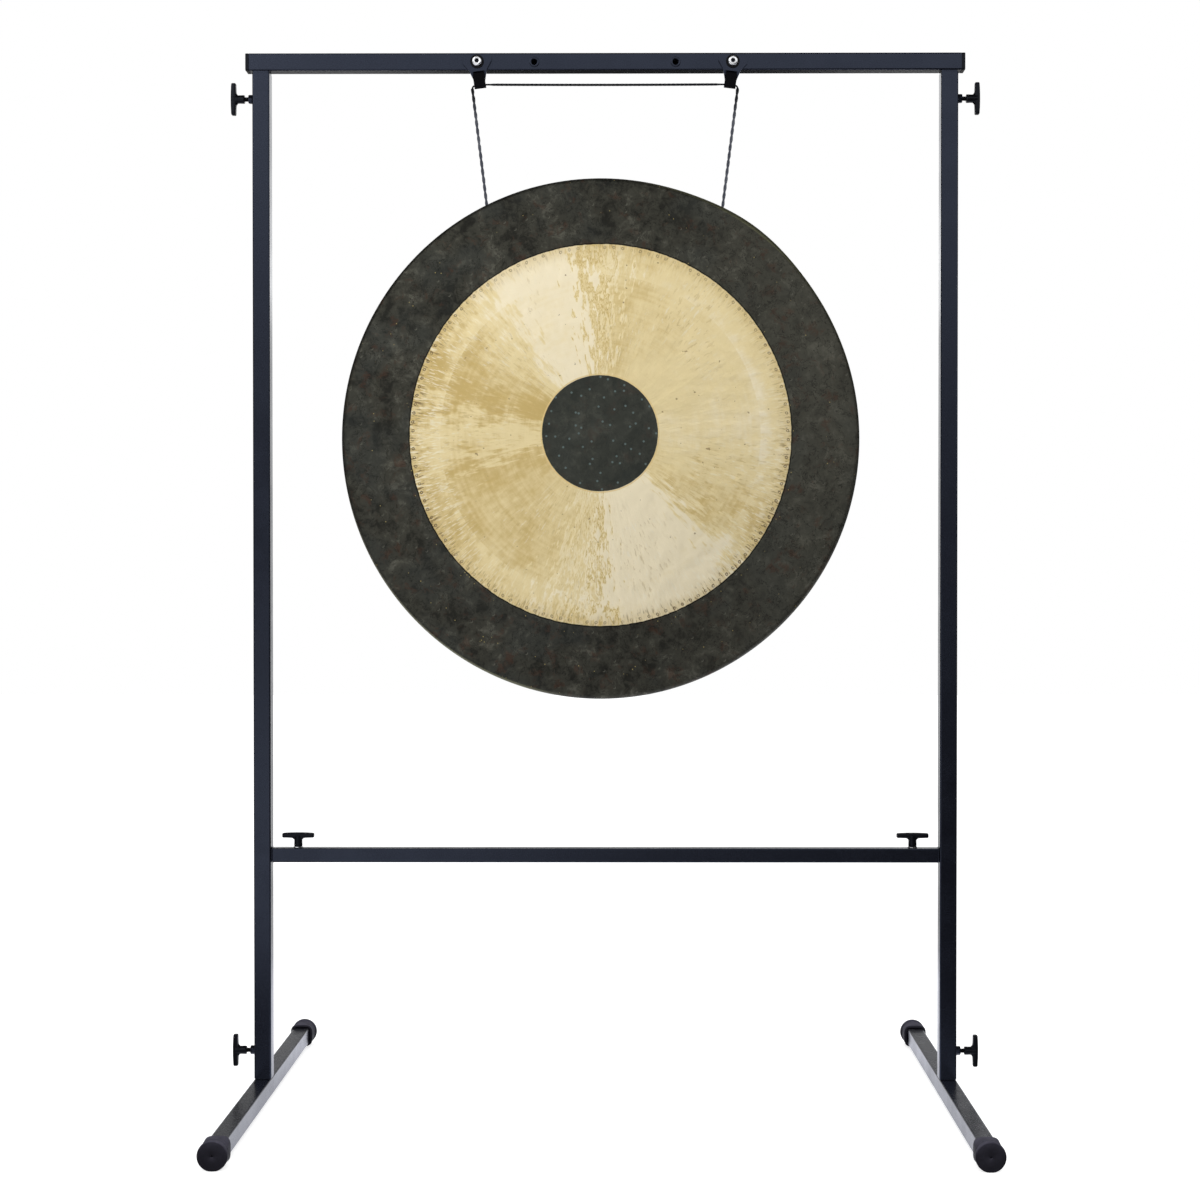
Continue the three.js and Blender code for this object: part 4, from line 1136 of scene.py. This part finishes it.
def pale_floor():
    reach = FLOOR_REACH
    sheet = bpy.data.meshes.new("floor")
    corners = (-reach, -reach, 0), (reach, -reach, 0), (reach, reach, 0), (-reach, reach, 0)
    sheet.from_pydata(corners, [], [[0, 1, 2, 3]])
    floor = add_object("floor", sheet)
    material = bpy.data.materials.new("floor, pale")
    tree = emptied(material)
    path = put(tree, "LightPath").outputs
    glossy = path["Is Glossy Ray"]
    seen = calc("MAXIMUM", glossy, path["Is Transmission Ray"])
    seen = calc("MAXIMUM", path["Is Camera Ray"], seen)
    spot = parts_of(put(tree, "NewGeometry").outputs["Position"])
    cool = product(glossy, between(spot["Y"], *COOL_Y))
    cool = painted((1, 1, 1), (cool, (0.84, 0.86, 1.0)))
    mirrored = product(glossy, between(spot["Y"], *BRIGHT_Y))
    strength = calc("ADD", product(seen, FLOOR_GLOW), mirrored)
    glow = put(tree, "Emission", {"Color": cool, "Strength": strength})
    matt = put(tree, "BsdfDiffuse", {"Color": (0.8, 0.8, 0.8, 1)})
    ground = put(tree, "AddShader", {0: matt, 1: glow})

    # In front it is pale to the left and dark to the right, and dark outside the uprights
    begins = between(spot["Y"], *FRONT_FROM_Y)
    close = calc("MAXIMUM", between(spot["Y"], *NEAR_DARK_Y), between(spot["X"], *LEFT_PALE_X))
    close = product(begins, between(spot["Y"], *FRONT_TO_Y), close)
    right = product(begins, between(spot["X"], *RIGHT_DARK_X))
    outside = product(
        between(calc("ABSOLUTE", spot["X"]), *OUTSIDE_X),
        between(spot["Y"], *OUTSIDE_FROM_Y), between(spot["Y"], *OUTSIDE_TO_Y),
    )
    dark = calc("MAXIMUM", calc("MAXIMUM", close, outside), right)
    black = put(tree, "Emission", {"Color": (0, 0, 0, 1)})
    # Far behind, the gloss looks past the floor at the wall
    far = between(spot["Y"], *PAST_Y)
    for share, shader in ((dark, black), (far, put(tree, "BsdfTransparent"))):
        ground = put(tree, "MixShader", {0: product(glossy, share), 1: ground, 2: shader})
    put(tree, "OutputMaterial", {"Surface": ground})
    sheet.materials.append(material)


def studio_room():
    world = bpy.data.worlds.new("studio")
    SCENE.world = world
    tree = emptied(world)
    path = put(tree, "LightPath").outputs
    seen = calc("MAXIMUM", path["Is Camera Ray"], path["Is Transmission Ray"])
    parts = parts_of(put(tree, "TexCoord").outputs["Generated"])
    beside = calc("ABSOLUTE", parts["X"])

    # Glossy rays that leave toward the front, near the eye's level, meet the darker end of the room
    level = calc("ABSOLUTE", calc("SUBTRACT", parts["Z"], EYE_LEVEL))
    level = between(level, *LEVEL_DARK)
    low = product(between(parts["Z"], *LOW_DARK), between(parts["X"], *LOW_DARK_X))
    dark = product(between(parts["Y"], *FRONT), calc("MAXIMUM", level, low), -ROOM_GLOSS)
    mirrored = calc("ADD", dark, ROOM_GLOSS)

    # Walls to the sides and the ceiling are darker, and the wall behind is bright in a low strip alone
    wall = calc("MAXIMUM", between(parts["Z"], *WALL_HIGH), between(parts["Z"], *WALL_LOW))
    middle = product(between(beside, *WALL_MIDDLE_X), between(parts["Z"], *WALL_MIDDLE_Z))
    wall = product(between(parts["Y"], *BEHIND), calc("MAXIMUM", wall, middle))
    mirrored = product(
        mirrored, between(beside, *ASIDE), between(parts["Z"], *OVERHEAD),
        calc("SUBTRACT", 1.0, wall),
    )
    soft = calc("SUBTRACT", mirrored, ROOM_LIGHT)
    soft = calc("MULTIPLY_ADD", path["Is Glossy Ray"], soft, ROOM_LIGHT)
    unseen = product(soft, calc("SUBTRACT", 1.0, seen))
    back = put(tree, "Background", {"Color": (1, 1, 1, 1), "Strength": calc("ADD", seen, unseen)})
    put(tree, "OutputWorld", {"Surface": back})


def studio_lamps():
    for name, place, size, power in (
        ("key", (-2.6, -3.2, 3.6), 2.8, 52.0),
        ("fill", (3.0, -2.6, 2.6), 2.8, 26.0),
        ("back", (0.4, 3.4, 3.2), 3.0, 36.0),
    ):
        light = bpy.data.lights.new(name, "AREA")
        light.size = size
        light.energy = power
        aim(add_object(name, light), place, Vector((0, 0, 1.1)) - Vector(place))


finish_cad_pieces()
dress_feet()
dress_clamps()
dress_hangers()
dress_welds()
dress_gong()
pale_floor()
studio_room()
studio_lamps()
SCENE.view_settings.view_transform = "Standard"
